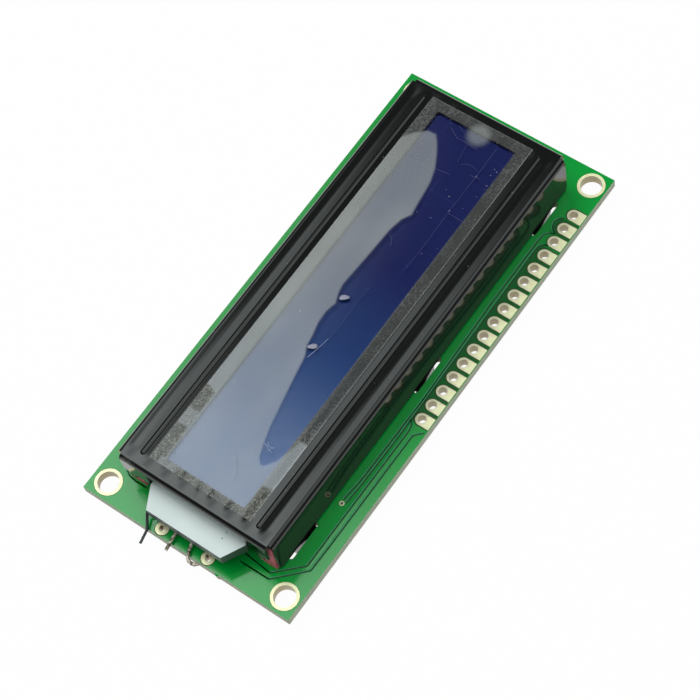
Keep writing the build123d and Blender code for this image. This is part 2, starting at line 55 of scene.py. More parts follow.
Point = tuple[float, float]
Place = tuple[float, float, float]
Edges = tuple[float, float, float, float]
Run = list[Point]
Tree = bpy.types.NodeTree
Node = bpy.types.Node
Socket = bpy.types.NodeSocket
Mesh = bpy.types.Mesh
Inputs = dict[str | int, object]

# Node types that come up often
NOISE = "ShaderNodeTexNoise"
CELLS = "ShaderNodeTexVoronoi"
RANGE = "ShaderNodeMapRange"
MIX = "ShaderNodeMix"
MATH = "ShaderNodeMath"
SPLIT = "ShaderNodeSeparateXYZ"
BUMP = "ShaderNodeBump"

# A colour mix: its setting, its inputs for the share and the two colours, and its output
COLOURS = {"data_type": "RGBA"}
SHARE = 0
FIRST = 6
SECOND = 7
MIXED = 2


class Side(Enum):
    """The two faces of the board."""

    FRONT = 1
    REAR = -1


class Slot(Enum):
    """The names of some of the record's material slots."""

    LAMINATE = "solder_masked_laminate"
    TINNED = "tinned_copper"
    FILM = "clear_film"
    WIRE = "wire"
    MOULDING = "white_moulding"


def linear(hex_colour: str) -> tuple[float, float, float, float]:
    """Turn an sRGB hex colour to a linear one.

    Args:
        hex_colour: Six hex digits, red first.

    Returns:
        Linear red, green and blue, and an alpha of one.
    """
    parts = [int(hex_colour[i : i + 2], 16) / 255 for i in (0, 2, 4)]
    red, green, blue = [c / 12.92 if c <= 0.04045 else ((c + 0.055) / 1.055) ** 2.4 for c in parts]
    return red, green, blue, 1.0


def per_mm(size_mm: float) -> float:
    """Give the texture scale, in metres, of a pattern with this size in millimetres."""
    return 1.0 / (size_mm * MM)


def feed(tree: Tree, node: Node, key: str | int, value: object) -> None:
    """Give a node one of its settings.

    Args:
        tree: The node's tree.
        node: The node.
        key: A property's attribute name, or an input's name or number.
        value: The setting, or the output that feeds the input.
    """
    if isinstance(value, Socket):
        tree.links.new(value, node.inputs[key])
    elif isinstance(key, str) and hasattr(node, key):
        setattr(node, key, value)
    else:
        node.inputs[key].default_value = value


def add_node(tree: Tree, kind: str, inputs: Inputs, out: str | int = 0) -> Socket | None:
    """Add a node to a tree.

    Args:
        tree: The tree of a material, the world or a Geometry Nodes group.
        kind: The node's type name.
        inputs: Its settings and links, by attribute name or by the input's name or number.
        out: Name or number of the output that is wanted.

    Returns:
        That output, or none where the node ends the tree.
    """
    node = tree.nodes.new(kind)
    for key, value in inputs.items():
        feed(tree, node, key, value)
    return node.outputs[out] if node.outputs else None


def smoothstep(low: float, high: float, value: float) -> float:
    """Rise smoothly from nought at low to one at high."""
    share = min(1.0, max(0.0, (value - low) / (high - low)))
    return share * share * (3.0 - 2.0 * share)


@dataclass(frozen=True)
class Finish:
    """A surface finish, made into a material once.

    Attributes:
        name: The real material's name.
        colour: Its main sRGB colour.
        rough: Its middle roughness.
    """

    name: str
    colour: str
    rough: float

    def material(self) -> bpy.types.Material:
        """Give the finish's material, made when it is first asked for.

        Returns:
            The material.
        """
        if self.name in MADE:
            return MADE[self.name]
        made = bpy.data.materials.new(self.name)
        MADE[self.name] = made
        made.use_nodes = True
        tree = made.node_tree
        shader = tree.nodes["Principled BSDF"]
        shader.inputs["Base Color"].default_value = linear(self.colour)
        shader.inputs["Roughness"].default_value = self.rough
        coords = tree.nodes.new("ShaderNodeTexCoord")
        for label, value in self.dress(tree, coords).items():
            feed(tree, shader, label, value)
        return made

    def dress(self, tree: Tree, coords: Node) -> Inputs:
        """Add the finish's own nodes.

        Args:
            tree: The material's tree.
            coords: Its texture coordinates.

        Returns:
            What each of the shader's inputs gets.
        """
        raise NotImplementedError

    def level(self, tree: Tree, coords: Node) -> Socket:
        """Tell level faces from upright walls.

        Args:
            tree: The material's tree.
            coords: Its texture coordinates.

        Returns:
            An output that is one on level faces and nought on walls.
        """
        facing = add_node(tree, SPLIT, {0: coords.outputs["Normal"]}, "Z")
        flat = add_node(tree, MATH, {"operation": "ABSOLUTE", 0: facing})
        return add_node(tree, RANGE, {"From Min": 0.4, "From Max": 0.6, "Value": flat})


@dataclass(frozen=True)
class Grained(Finish):
    """A plain moulded, fired or cast surface: two close tones in soft clouds over a fine grain.

    Attributes:
        second: The cloud's sRGB colour.
        cloud_mm: Size of the clouds.
        grain_mm: Size of the grain.
        grain_depth: Depth of the grain, in millimetres.
        relief: Strength of the grain's bump.
        metal: How metallic it is.
        clear: How much light it lets through.
        spread: How much of the cloud's range lies between the two tones.
        swing: Shares of the middle roughness at the smoothest and the dullest.
        wall: The sRGB colour of upright walls, where it differs; a darker wall colour is painted shade.
    """

    second: str = "808080"
    cloud_mm: float = 2.0
    grain_mm: float = 0.2
    grain_depth: float = 0.05
    relief: float = 0.1
    metal: float = 0.0
    clear: float = 0.0
    spread: float = 0.5
    swing: Point = (0.8, 1.2)
    wall: str = ""

    def dress(self, tree: Tree, coords: Node) -> Inputs:
        """Add clouds of the second tone, a roughness that follows them, and the grain's bump.

        Args:
            tree: The material's tree.
            coords: Its texture coordinates.

        Returns:
            What each of the shader's inputs gets.
        """
        at = coords.outputs["Object"]
        cloud = add_node(tree, NOISE, {"Scale": per_mm(self.cloud_mm), "Detail": 4.0, "Vector": at})
        span = {"From Min": 0.5 - self.spread, "From Max": 0.5 + self.spread}
        patches = add_node(tree, RANGE, {**span, "Value": cloud})
        tones = {FIRST: linear(self.colour), SECOND: linear(self.second)}
        tone = add_node(tree, MIX, {**COLOURS, **tones, SHARE: patches}, MIXED)
        # Upright walls take the wall colour, painted shade where it is darker
        if self.wall:
            walled = {FIRST: linear(self.wall), SECOND: tone, SHARE: self.level(tree, coords)}
            tone = add_node(tree, MIX, {**COLOURS, **walled}, MIXED)
        least, most = self.swing
        span = {"To Min": self.rough * least, "To Max": min(1.0, self.rough * most)}
        sheen = add_node(tree, RANGE, {**span, "Value": cloud})
        grain = add_node(tree, NOISE, {"Scale": per_mm(self.grain_mm), "Detail": 2.0, "Vector": at})
        depth = {"Strength": self.relief, "Distance": self.grain_depth * MM}
        bump = add_node(tree, BUMP, {**depth, "Height": grain})
        glow = {"Metallic": self.metal, "Transmission Weight": self.clear}
        return {"Base Color": tone, "Roughness": sheen, "Normal": bump, **glow}


@dataclass(frozen=True)
class SolderMask(Finish):
    """Glass laminate under a glossy green lacquer: level faces are green, sawn walls pale and fibrous.

    Attributes:
        deep: The lacquer's darker tone where it pools.
        wall: The bare laminate's sRGB colour.
        fibre: The glass fibres' sRGB colour.
        bare: The lacquer's sRGB colour where no copper lies under it.
        bare_fields: Lowest and highest corners of the fields without copper round the header pads, in mm.
        bare_edge: Half the width over which such a field fades, in millimetres.
        wall_rough: Roughness of the sawn walls.
        pool_mm: Size of the pools.
        strand_mm: Size of a bundle of fibres.
        drawn: How the bundles are drawn out along the walls.
        peel_mm: Size of the lacquer's orange peel.
    """

    deep: str = "008C32"
    wall: str = "A0A690"
    fibre: str = "D2D0BC"
    bare: str = "006422"
    bare_fields: tuple[tuple[Point, Point], ...] = (
        ((-25.6, 14.6), (7.0, 17.75)),
        ((-30.8, 14.5), (-28.1, 17.75)),
    )
    bare_edge: float = 0.08
    wall_rough: float = 0.75
    pool_mm: float = 9.0
    strand_mm: float = 0.5
    drawn: Place = (0.35, 0.35, 4.0)
    peel_mm: float = 0.7

    def dress(self, tree: Tree, coords: Node) -> Inputs:
        """Add pooled lacquer, its faint orange peel, and fibres on the walls.

        Args:
            tree: The material's tree.
            coords: Its texture coordinates.

        Returns:
            What each of the shader's inputs gets.
        """
        at = coords.outputs["Object"]
        pool = add_node(tree, NOISE, {"Scale": per_mm(self.pool_mm), "Detail": 3.0, "Vector": at})
        tones = {FIRST: linear(self.colour), SECOND: linear(self.deep)}
        lacquer = add_node(tree, MIX, {**COLOURS, **tones, SHARE: pool}, MIXED)
        for low, high in self.bare_fields:
            tones = {FIRST: lacquer, SECOND: linear(self.bare), SHARE: self.field(tree, at, low, high)}
            lacquer = add_node(tree, MIX, {**COLOURS, **tones}, MIXED)
        bundles = add_node(tree, "ShaderNodeMapping", {"Scale": self.drawn, "Vector": at})
        size = {"Scale": per_mm(self.strand_mm), "Detail": 3.0, "Roughness": 0.7}
        strands = add_node(tree, NOISE, {**size, "Vector": bundles})
        tones = {FIRST: linear(self.wall), SECOND: linear(self.fibre)}
        laminate = add_node(tree, MIX, {**COLOURS, **tones, SHARE: strands}, MIXED)
        coated = self.level(tree, coords)
        tone = add_node(tree, MIX, {**COLOURS, SHARE: coated, FIRST: laminate, SECOND: lacquer}, MIXED)
        sheen = add_node(tree, RANGE, {"To Min": self.wall_rough, "To Max": self.rough, "Value": coated})
        peel = add_node(tree, NOISE, {"Scale": per_mm(self.peel_mm), "Detail": 2.0, "Vector": at})
        bump = add_node(tree, BUMP, {"Strength": 0.12, "Distance": 0.03 * MM, "Height": peel})
        return {"Base Color": tone, "Roughness": sheen, "Normal": bump}

    def field(self, tree: Tree, at: Socket, low: Point, high: Point) -> Socket:
        """Mark one field without copper.

        Args:
            tree: The material's tree.
            at: The output that gives the place.
            low: The field's lowest corner.
            high: Its highest corner.

        Returns:
            An output that is one in the field and nought outside it.
        """
        place = add_node(tree, SPLIT, {0: at}).node
        inside: Socket | float = 1.0
        for axis, least, most in zip(("X", "Y"), low, high):
            for edge, soft in ((least, self.bare_edge), (most, -self.bare_edge)):
                span = {"From Min": (edge - soft) * MM, "From Max": (edge + soft) * MM}
                step = add_node(tree, RANGE, {**span, "Value": place.outputs[axis]})
                inside = add_node(tree, MATH, {"operation": "MULTIPLY", 0: inside, 1: step})
        return inside


@dataclass(frozen=True)
class BlackEnamel(Finish):
    """Stoved black enamel on pressed steel: glossy, with fine orange peel, dust and one rubbed corner.

    Attributes:
        rubbed: The sRGB colour where the coat is rubbed.
        dust: The dust's sRGB colour.
        rubbed_at: Centre of the rubbed corner, in millimetres.
        rubbed_reach: How far the rubbing reaches from it, in millimetres.
        rubbed_core: Share of that reach where the rubbing is full.
        haze_mm: Size of the patches of duller sheen.
        swing: Shares of the middle roughness at the smoothest and the dullest.
        scuff_mm: Size of the scuffs in the rubbed corner.
        dust_mm: Spacing of the dust specks.
        peel_mm: Size of the orange peel.
        middle: Place of the bezel's long middle line, in millimetres.
        crest: Distance of a bead's crest from it.
        dish_pitch: Distance from a crest over the dished flat to the next rise.
        dish_depth: Half the depth of the dished flats, too shallow to be a solid form.
        dish_ends: Where the dish has faded out and where it is full, along the module.
    """

    rubbed: str = "B4B2A6"
    dust: str = "8C8C86"
    rubbed_at: Place = (35.9, -11.8, 6.4)
    rubbed_reach: float = 1.9
    rubbed_core: float = 0.3
    haze_mm: float = 3.0
    swing: Point = (0.9, 1.15)
    scuff_mm: float = 0.6
    dust_mm: float = 2.4
    peel_mm: float = 0.22
    middle: float = -0.52
    crest: float = 10.0
    dish_pitch: float = 3.0
    dish_depth: float = 0.036
    dish_ends: Point = (35.2, 32.5)

    def dress(self, tree: Tree, coords: Node) -> Inputs:
        """Add the rubbed corner, dust specks and the coat's texture.

        Args:
            tree: The material's tree.
            coords: Its texture coordinates.

        Returns:
            What each of the shader's inputs gets.
        """
        at = coords.outputs["Object"]
        corner = [v * MM for v in self.rubbed_at]
        away = add_node(tree, "ShaderNodeVectorMath", {"operation": "DISTANCE", 0: at, 1: corner}, "Value")
        span = {"From Min": self.rubbed_reach * MM, "From Max": self.rubbed_core * self.rubbed_reach * MM}
        near = add_node(tree, RANGE, {**span, "Value": away})
        scuff = add_node(tree, NOISE, {"Scale": per_mm(self.scuff_mm), "Detail": 4.0, "Vector": at})
        broken = add_node(tree, RANGE, {"From Min": 0.35, "From Max": 0.75, "To Max": 0.5, "Value": scuff})
        worn = add_node(tree, MATH, {"operation": "MULTIPLY", 0: near, 1: broken})
        grit = add_node(tree, CELLS, {"Scale": per_mm(self.dust_mm), "Randomness": 1.0, "Vector": at})
        speck = add_node(tree, RANGE, {"From Min": 0.06, "From Max": 0.03, "To Max": 0.3, "Value": grit})
        tones = {FIRST: linear(self.colour), SECOND: linear(self.dust)}
        dusted = add_node(tree, MIX, {**COLOURS, **tones, SHARE: speck}, MIXED)
        tones = {FIRST: dusted, SECOND: linear(self.rubbed)}
        tone = add_node(tree, MIX, {**COLOURS, **tones, SHARE: worn}, MIXED)
        size = {"Scale": per_mm(self.haze_mm), "Detail": 5.0, "Roughness": 0.65}
        haze = add_node(tree, NOISE, {**size, "Vector": at})
        least, most = self.swing
        span = {"To Min": self.rough * least, "To Max": self.rough * most}
        sheen = add_node(tree, RANGE, {**span, "Value": haze})
        peel = add_node(tree, NOISE, {"Scale": per_mm(self.peel_mm), "Detail": 2.0, "Vector": at})
        depth = {"Strength": 0.04, "Distance": 0.02 * MM}
        bump = add_node(tree, BUMP, {**depth, "Height": peel, "Normal": self.dished(tree, at)})
        return {"Base Color": tone, "Roughness": sheen, "Normal": bump}

    def dished(self, tree: Tree, at: Socket) -> Socket:
        """Dish the flats beside the beads, as pressing leaves them.

        Args:
            tree: The material's tree.
            at: The output that gives the place.

        Returns:
            The normal of the dished flats.
        """
        place = add_node(tree, SPLIT, {0: at}).node
        across = add_node(tree, MATH, {"operation": "SUBTRACT", 0: place.outputs["Y"], 1: self.middle * MM})
        out = add_node(tree, MATH, {"operation": "ABSOLUTE", 0: across})
        from_crest = add_node(tree, MATH, {"operation": "SUBTRACT", 0: out, 1: self.crest * MM})
        per_metre = 2.0 * math.pi / (self.dish_pitch * MM)
        turn = add_node(tree, MATH, {"operation": "MULTIPLY", 0: from_crest, 1: per_metre})
        wave = add_node(tree, MATH, {"operation": "COSINE", 0: turn})
        along = add_node(tree, MATH, {"operation": "ABSOLUTE", 0: place.outputs["X"]})
        none, full = self.dish_ends
        span = {"interpolation_type": "SMOOTHSTEP", "From Min": none * MM, "From Max": full * MM}
        share = add_node(tree, RANGE, {**span, "Value": along})
        rise = add_node(tree, MATH, {"operation": "MULTIPLY", 0: wave, 1: share})
        return add_node(tree, BUMP, {"Strength": 1.0, "Distance": self.dish_depth * MM, "Height": rise})


@dataclass(frozen=True)
class CellPolariser(Finish):
    """Blue polarising sheet: deep and glassy, with the cell's faint conductor lines showing through.

    Attributes:
        near: Its lighter sRGB colour towards the near end, a painted reflection.
        near_ends: Where that colour starts and where it is full, along the module, in millimetres.
        lines: The conductor lines' sRGB colour.
        cell: Length and width of a line's cell, in millimetres.
        line_mm: Width of a line.
        shift: How far the lines are shifted along and across the module, in millimetres.
        patch_mm: Size of the patches where the lines show.
    """

    near: str = "2C4F85"
    near_ends: Point = (-8.0, 26.0)
    lines: str = "4A5090"
    cell: Point = (5.8, 4.1)
    line_mm: float = 0.1
    shift: Point = (1.2, 0.8)
    patch_mm: float = 4.0

    def dress(self, tree: Tree, coords: Node) -> Inputs:
        """Add broken conductor lines, and the painted reflection that lightens the blue along the module.

        Args:
            tree: The material's tree.
            coords: Its texture coordinates.

        Returns:
            What each of the shader's inputs gets.
        """
        at = coords.outputs["Object"]
        moved = (self.shift[0] * MM, self.shift[1] * MM, 0.0)
        placed = add_node(tree, "ShaderNodeMapping", {"Location": moved, "Vector": at})
        long, wide = self.cell
        mortar = {"Mortar Size": self.line_mm / 2, "Mortar Smooth": 0.3}
        bricks = {"Scale": per_mm(1.0), "Brick Width": long, "Row Height": wide, **mortar}
        grid = add_node(tree, "ShaderNodeTexBrick", {**bricks, "Vector": placed}, "Fac")
        patch = add_node(tree, NOISE, {"Scale": per_mm(self.patch_mm), "Detail": 2.0, "Vector": at})
        shown = add_node(tree, RANGE, {"From Min": 0.5, "From Max": 0.7, "To Max": 0.3, "Value": patch})
        trace = add_node(tree, MATH, {"operation": "MULTIPLY", 0: grid, 1: shown})
        # The blue lightens towards the near end as painted reflection
        along = add_node(tree, SPLIT, {0: at}, "X")
        none, full = self.near_ends
        painted_sheen = add_node(tree, RANGE, {"From Min": none * MM, "From Max": full * MM, "Value": along})
        tones = {FIRST: linear(self.colour), SECOND: linear(self.near)}
        blue = add_node(tree, MIX, {**COLOURS, **tones, SHARE: painted_sheen}, MIXED)
        tones = {FIRST: blue, SECOND: linear(self.lines)}
        return {"Base Color": add_node(tree, MIX, {**COLOURS, **tones, SHARE: trace}, MIXED)}


@dataclass(frozen=True)
class PeelFilm(Finish):
    """Clear peel-off film: a veil where it stands off, partly haze and partly painted reflection, clear
    where it clings, bubbly on its lapped edges.

    Attributes:
        near_colour: The veil's bluer sRGB colour at the near end, a painted cast for the lit blue that
            shines through there.
        near_ends: Where that colour starts and where it is full, along the module, in millimetres.
        lap_colour: Its sRGB colour where it laps the dusty bezel.
        lap_veil: How strong the veil is on the laps.
        streak_mm: Size of the veil's streaks.
        drawn: How the streaks are drawn out along the film.
        foam_mm: Size of the small bubbles.
        dust_mm: Spacing of the dust specks.
    """

    near_colour: str = "D2D6DC"
    near_ends: Point = (-4.0, 26.0)
    lap_colour: str = "B4B2A8"
    lap_veil: float = 0.06
    streak_mm: float = 6.0
    drawn: Place = (0.4, 1.0, 1.0)
    foam_mm: float = 0.3
    dust_mm: float = 4.0

    def dress(self, tree: Tree, coords: Node) -> Inputs:
        """Add the veil's strength from the film's own attributes, streaks, bubbles and dust; the veil is
        partly haze and partly painted reflection, and the rim mark is a painted highlight along the edges.

        Args:
            tree: The material's tree.
            coords: Its texture coordinates.

        Returns:
            What each of the shader's inputs gets.
        """
        at = coords.outputs["Object"]
        haze_and_reflection, lap, bubbly, rim = [
            add_node(tree, "ShaderNodeAttribute", {"attribute_name": label}, "Fac") for label in Film.MARKS
        ]
        drawn = add_node(tree, "ShaderNodeMapping", {"Scale": self.drawn, "Vector": at})
        streak = add_node(tree, NOISE, {"Scale": per_mm(self.streak_mm), "Detail": 2.0, "Vector": drawn})
        span = {"From Min": 0.3, "From Max": 0.7, "To Min": 0.26, "To Max": 0.34}
        veil = add_node(tree, RANGE, {**span, "Value": streak})
        size = {"Scale": per_mm(self.foam_mm), "Detail": 2.0, "Roughness": 0.6}
        foam = add_node(tree, NOISE, {**size, "Vector": at})
        span = {"From Min": 0.47, "From Max": 0.63, "To Min": 0.05, "To Max": 0.3}
        spots = add_node(tree, RANGE, {**span, "Value": foam})
        dust = add_node(tree, CELLS, {"Scale": per_mm(self.dust_mm), "Randomness": 1.0, "Vector": at})
        total = add_node(tree, RANGE, {"From Min": 0.03, "From Max": 0.015, "To Max": 0.3, "Value": dust})
        # The veil is partly haze and partly painted reflection, and the rim mark adds a painted highlight
        # along the edges
        for share, strength in ((haze_and_reflection, veil), (bubbly, spots), (lap, self.lap_veil)):
            total = add_node(tree, MATH, {"operation": "MULTIPLY_ADD", 0: share, 1: strength, 2: total})
        veiled = add_node(tree, MATH, {"operation": "ADD", "use_clamp": True, 0: total, 1: rim})
        # The veil turns bluer towards the near end as a painted cast of the lit blue below
        along = add_node(tree, SPLIT, {0: at}, "X")
        none, full = self.near_ends
        near = add_node(tree, RANGE, {"From Min": none * MM, "From Max": full * MM, "Value": along})
        tones = {FIRST: linear(self.colour), SECOND: linear(self.near_colour)}
        tone = add_node(tree, MIX, {**COLOURS, **tones, SHARE: near}, MIXED)
        tones = {FIRST: tone, SECOND: linear(self.lap_colour)}
        dusty = add_node(tree, MIX, {**COLOURS, **tones, SHARE: bubbly}, MIXED)
        return {"Base Color": dusty, "Alpha": veiled}


@dataclass(frozen=True)
class WhiteMoulding(Finish):
    """White moulded plastic, clean on top, with painted shade on its end walls that turns into a painted
    green reflection of the board.

    Attributes:
        cloud: The sRGB colour of its sink clouds.
        cloud_mm: Size of the clouds.
        grain_mm: Size of the grain.
        wall_shade: The sRGB colour of the painted shade on the walls.
        wall_reflection: The sRGB colour where the painted shade gives way to a painted green reflection of
            the board.
        wall_from: Where the shaded walls start along the module, in millimetres.
        shade_ends: Where the painted shade is full and where it has given way to the reflection, across the
            module.
    """

    cloud: str = "CCD4D2"
    cloud_mm: float = 4.0
    grain_mm: float = 0.25
    wall_shade: str = "141A30"
    wall_reflection: str = "3A4E46"
    wall_from: float = 34.9
    shade_ends: Point = (-3.0, 6.0)

    def dress(self, tree: Tree, coords: Node) -> Inputs:
        """Add soft sink clouds, a fine grain and the painted shade and reflection on the end walls.

        Args:
            tree: The material's tree.
            coords: Its texture coordinates.

        Returns:
            What each of the shader's inputs gets.
        """
        at = coords.outputs["Object"]
        place = add_node(tree, SPLIT, {0: at}).node
        # Painted shade on the end walls, turning to a painted green reflection of the board across the
        # module
        full, none = self.shade_ends
        span = {"From Min": full * MM, "From Max": none * MM}
        thin = add_node(tree, RANGE, {**span, "Value": place.outputs["Y"]})
        tones = {FIRST: linear(self.wall_shade), SECOND: linear(self.wall_reflection)}
        shaded_wall = add_node(tree, MIX, {**COLOURS, **tones, SHARE: thin}, MIXED)
        facing = add_node(tree, SPLIT, {0: coords.outputs["Normal"]}, "Z")
        outward = add_node(tree, MATH, {"operation": "LESS_THAN", 0: facing, 1: 0.5})
        start = self.wall_from * MM
        at_end = add_node(tree, MATH, {"operation": "GREATER_THAN", 0: place.outputs["X"], 1: start})
        wall = add_node(tree, MATH, {"operation": "MULTIPLY", 0: outward, 1: at_end})
        cloud = add_node(tree, NOISE, {"Scale": per_mm(self.cloud_mm), "Detail": 3.0, "Vector": at})
        tones = {FIRST: linear(self.colour), SECOND: linear(self.cloud)}
        white = add_node(tree, MIX, {**COLOURS, **tones, SHARE: cloud}, MIXED)
        tone = add_node(tree, MIX, {**COLOURS, SHARE: wall, FIRST: white, SECOND: shaded_wall}, MIXED)
        grain = add_node(tree, NOISE, {"Scale": per_mm(self.grain_mm), "Detail": 2.0, "Vector": at})
        bump = add_node(tree, BUMP, {"Strength": 0.1, "Distance": 0.02 * MM, "Height": grain})
        return {"Base Color": tone, "Normal": bump}


@dataclass(frozen=True)
class StripedRubber(Finish):
    """Silicone rubber strip: soft pink skin with the carbon layers of its core as faint stripes.

    Attributes:
        stripe: The stripes' sRGB colour.
        pitch_mm: Spacing of the stripes, drawn coarser than the real tenth of a millimetre so that it shows.
        wave_turn: How far the wave texture turns in one unit of its scale, in radians.
        grain_mm: Size of the grain.
    """

    stripe: str = "E06078"
    pitch_mm: float = 2.262
    wave_turn: float = 20.0
    grain_mm: float = 0.2

    def dress(self, tree: Tree, coords: Node) -> Inputs:
        """Add the stripes along the strip and a soft grain.

        Args:
            tree: The material's tree.
            coords: Its texture coordinates.

        Returns:
            What each of the shader's inputs gets.
        """
        at = coords.outputs["Object"]
        scale = per_mm(self.pitch_mm) * 2.0 * math.pi / self.wave_turn
        waves = {"Scale": scale, "Distortion": 0.4, "Detail": 1.0}
        bands = add_node(tree, "ShaderNodeTexWave", {**waves, "Vector": at}, "Fac")
        faint = add_node(tree, RANGE, {"To Max": 0.4, "Value": bands})
        tones = {FIRST: linear(self.colour), SECOND: linear(self.stripe)}
        tone = add_node(tree, MIX, {**COLOURS, **tones, SHARE: faint}, MIXED)
        grain = add_node(tree, NOISE, {"Scale": per_mm(self.grain_mm), "Detail": 3.0, "Vector": at})
        bump = add_node(tree, BUMP, {"Strength": 0.2, "Distance": 0.04 * MM, "Height": grain})
        return {"Base Color": tone, "Normal": bump}


# Lacquered glass laminate: deep green that mirrors softly, with pale sawn walls
SOLDER_MASK = SolderMask("lacquered_glass_laminate", "00A03A", 0.14)
# Lacquer sunk between copper areas, with painted shade for the channel wall that faces away from the light:
# darker green lines
CHANNEL_LACQUER_AND_SHADE = Grained("channel_lacquer_and_painted_shade", "003C14", 0.2, second="00491A", cloud_mm=3.0, grain_mm=0.5)
# Lacquer over copper: paler green lines; beside the front channels they are a painted highlight on each
# channel's lit wall
COPPER_LACQUER_AND_HIGHLIGHT = Grained("lacquer_over_copper_and_painted_highlight", "3CA868", 0.2, second="2C9858", cloud_mm=3.0, grain_mm=0.5)
# Bare laminate in the gap round a pad: dull olive
MASK_GAP = Grained("bare_laminate_gap", "2A4A22", 0.6, second="3A5428", cloud_mm=0.6, grain_mm=0.15)
# Hot-dipped tin on copper: warm pale metal with slow ripples and a dull tarnish, and painted shade on its
# upright walls such as the hole barrels
TIN = Grained(
    "hot_dipped_tin",
    "FCF8CC",
    0.32,
    second="EEE8B6",
    cloud_mm=0.8,
    grain_mm=0.4,
    relief=0.25,
    metal=0.3,
    spread=0.25,
    wall="C0B088",
)
# Painted highlight for the tin drawn up in a rim round a pad and its hole: pale and smooth
TIN_RIM_HIGHLIGHT = Grained("tin_meniscus_painted_highlight", "FFF6D8", 0.3, second="F2E9C4", cloud_mm=1.0, grain_mm=0.4, metal=0.2)
# Stoved black enamel on steel: near-black with a clear sheen
ENAMEL = BlackEnamel("black_enamel_on_steel", "0C0C0B", 0.1)
# Peel-off film: clear to milky, the milky veil partly haze and partly painted reflection
FILM = PeelFilm("clear_peel_film", "D8DAD8", 0.25)
# Scored film: a pale thread of torn plastic
SCORED = Grained("scored_film", "B4BEDC", 0.5, second="7C86B0", cloud_mm=0.5)
# Film only grazed: a faint grey-blue thread
GRAZED = Grained("grazed_film", "555A86", 0.5, second="363C6C", cloud_mm=0.8)
# Hair under the film: a thin grey thread
HAIR = Grained("hair_under_film", "6E7C90", 0.6, second="808EA0", cloud_mm=0.8)
# Air under the film: small glassy blisters
BLISTER = Grained("film_blister", "A09C90", 0.15, second="4A4842", cloud_mm=0.5, grain_mm=0.3)
# Film lifted in a small dome, pale lavender grey as a painted highlight
DOME_HIGHLIGHT = Grained("lifted_film_dome_painted_highlight", "9C98A8", 0.3, second="7C7C94", cloud_mm=0.6, grain_mm=0.3)
# Lint and dust: pale grey specks
LINT = Grained("lint", "7E82A2", 0.7, second="5A5E88", cloud_mm=0.3, grain_mm=0.1)
# Blue seen deeper along the edge where the film parts from the glass
PARTING = Grained("parting_edge", "15184A", 0.3, second="20244E", cloud_mm=1.0, grain_mm=0.3)
# Dyed polarising sheet: deep blue under gloss
POLARISER = CellPolariser("dyed_polarising_sheet", "171D50", 0.05)
# Float glass of the cell: clear with a green cast
GLASS = Grained("float_glass", "D8E8E2", 0.03, second="C8DCD4", cloud_mm=20.0, relief=0.01, clear=0.9)
# Edge seal of the cell: cured amber resin
SEAL = Grained("cured_edge_seal", "B9A878", 0.4, second="9C8A5C", cloud_mm=1.0)
# Silicone strip: soft matt pink
RUBBER = StripedRubber("pink_silicone_strip", "FF8A9C", 0.6)
# White polyester sheet: matt and bright
WHITE_SHEET = Grained("white_polyester_sheet", "E4E8E6", 0.6, second="D4DAD8", cloud_mm=6.0)
# Acrylic light guide: clear and slightly hazed
ACRYLIC = Grained("cast_acrylic", "EAF0F0", 0.08, second="DCE6E6", cloud_mm=10.0, relief=0.02, clear=0.85)
# White moulded plastic: matt and cool, with painted shade and a painted board reflection on its end walls
MOULDING = WhiteMoulding("white_moulded_plastic", "DAE2E0", 0.4)
# Lamp carrier strip: dull green laminate
CARRIER = Grained("lamp_carrier_laminate", "2E5A34", 0.4, second="224A2A", cloud_mm=2.0)
# Lamp bodies: creamy resin
LAMP = Grained("lamp_resin", "E8E2B8", 0.3, second="DCD29A", cloud_mm=0.8)
# Tinned lead with flux and scorch on it: dull grey-brown metal
LEAD = Grained(
    "scorched_tinned_wire",
    "DACEBC",
    0.35,
    second="5A5044",
    cloud_mm=0.5,
    grain_mm=0.15,
    relief=0.5,
    metal=0.4,
    spread=0.08,
)
# Side lead: blue-black over its whole length
DARK_LEAD = Grained(
    "blue_black_wire", "13151C", 0.35, second="262A32", cloud_mm=0.7, grain_mm=0.2, relief=0.3
)
# Dripped chip resin: dark and slightly waxy
RESIN = Grained("black_chip_resin", "131416", 0.3, second="1E2023", cloud_mm=2.5, grain_mm=0.35, relief=0.15)
# Burnt flux: brown and glassy
FLUX = Grained("burnt_flux", "6E5430", 0.3, second="4E3A20", cloud_mm=0.2, grain_mm=0.1)
# Soot specks on the tongue, and the painted shade in the front via's hole: dark grey
SOOT_AND_HOLE_SHADE = Grained("soot_and_painted_hole_shade", "4A5254", 0.7, second="5E6668", cloud_mm=0.2, grain_mm=0.1)
# Fired resistor glaze: black and smooth
GLAZE = Grained("black_resistor_glaze", "18181A", 0.25, second="242428", cloud_mm=0.6)
# Fired capacitor body: tan and matt
CERAMIC = Grained("tan_capacitor_ceramic", "B39A74", 0.5, second="A0865F", cloud_mm=0.5)

NODE_FINISHES: dict[str, Finish] = {
    "circuit_board": SOLDER_MASK,
    "mounting_hole_pads": TIN,
    "header_pads": TIN,
    "backlight_pads": TIN,
    "contact_fingers_header_side": TIN,
    "contact_fingers_free_side": TIN,
    "resistor_ends": TIN,
    "capacitor_ends": TIN,
    "bezel": ENAMEL,
    "front_polariser": POLARISER,
    "rear_polariser": POLARISER,
    "front_glass": GLASS,
    "rear_glass": GLASS,
    "cell_seal": SEAL,
    "fill_port_plug": SEAL,
    "elastomer_header_side": RUBBER,
    "elastomer_free_side": RUBBER,
    "diffuser_film": WHITE_SHEET,
    "reflector_film": WHITE_SHEET,
    "light_guide": ACRYLIC,
    "backlight_housing": MOULDING,
    "led_carrier": CARRIER,
    "backlight_leds": LAMP,
    "controller_glob_top": RESIN,
    "driver_glob_top": RESIN,
    "resistor_bodies": GLAZE,
    "capacitor_bodies": CERAMIC,
}


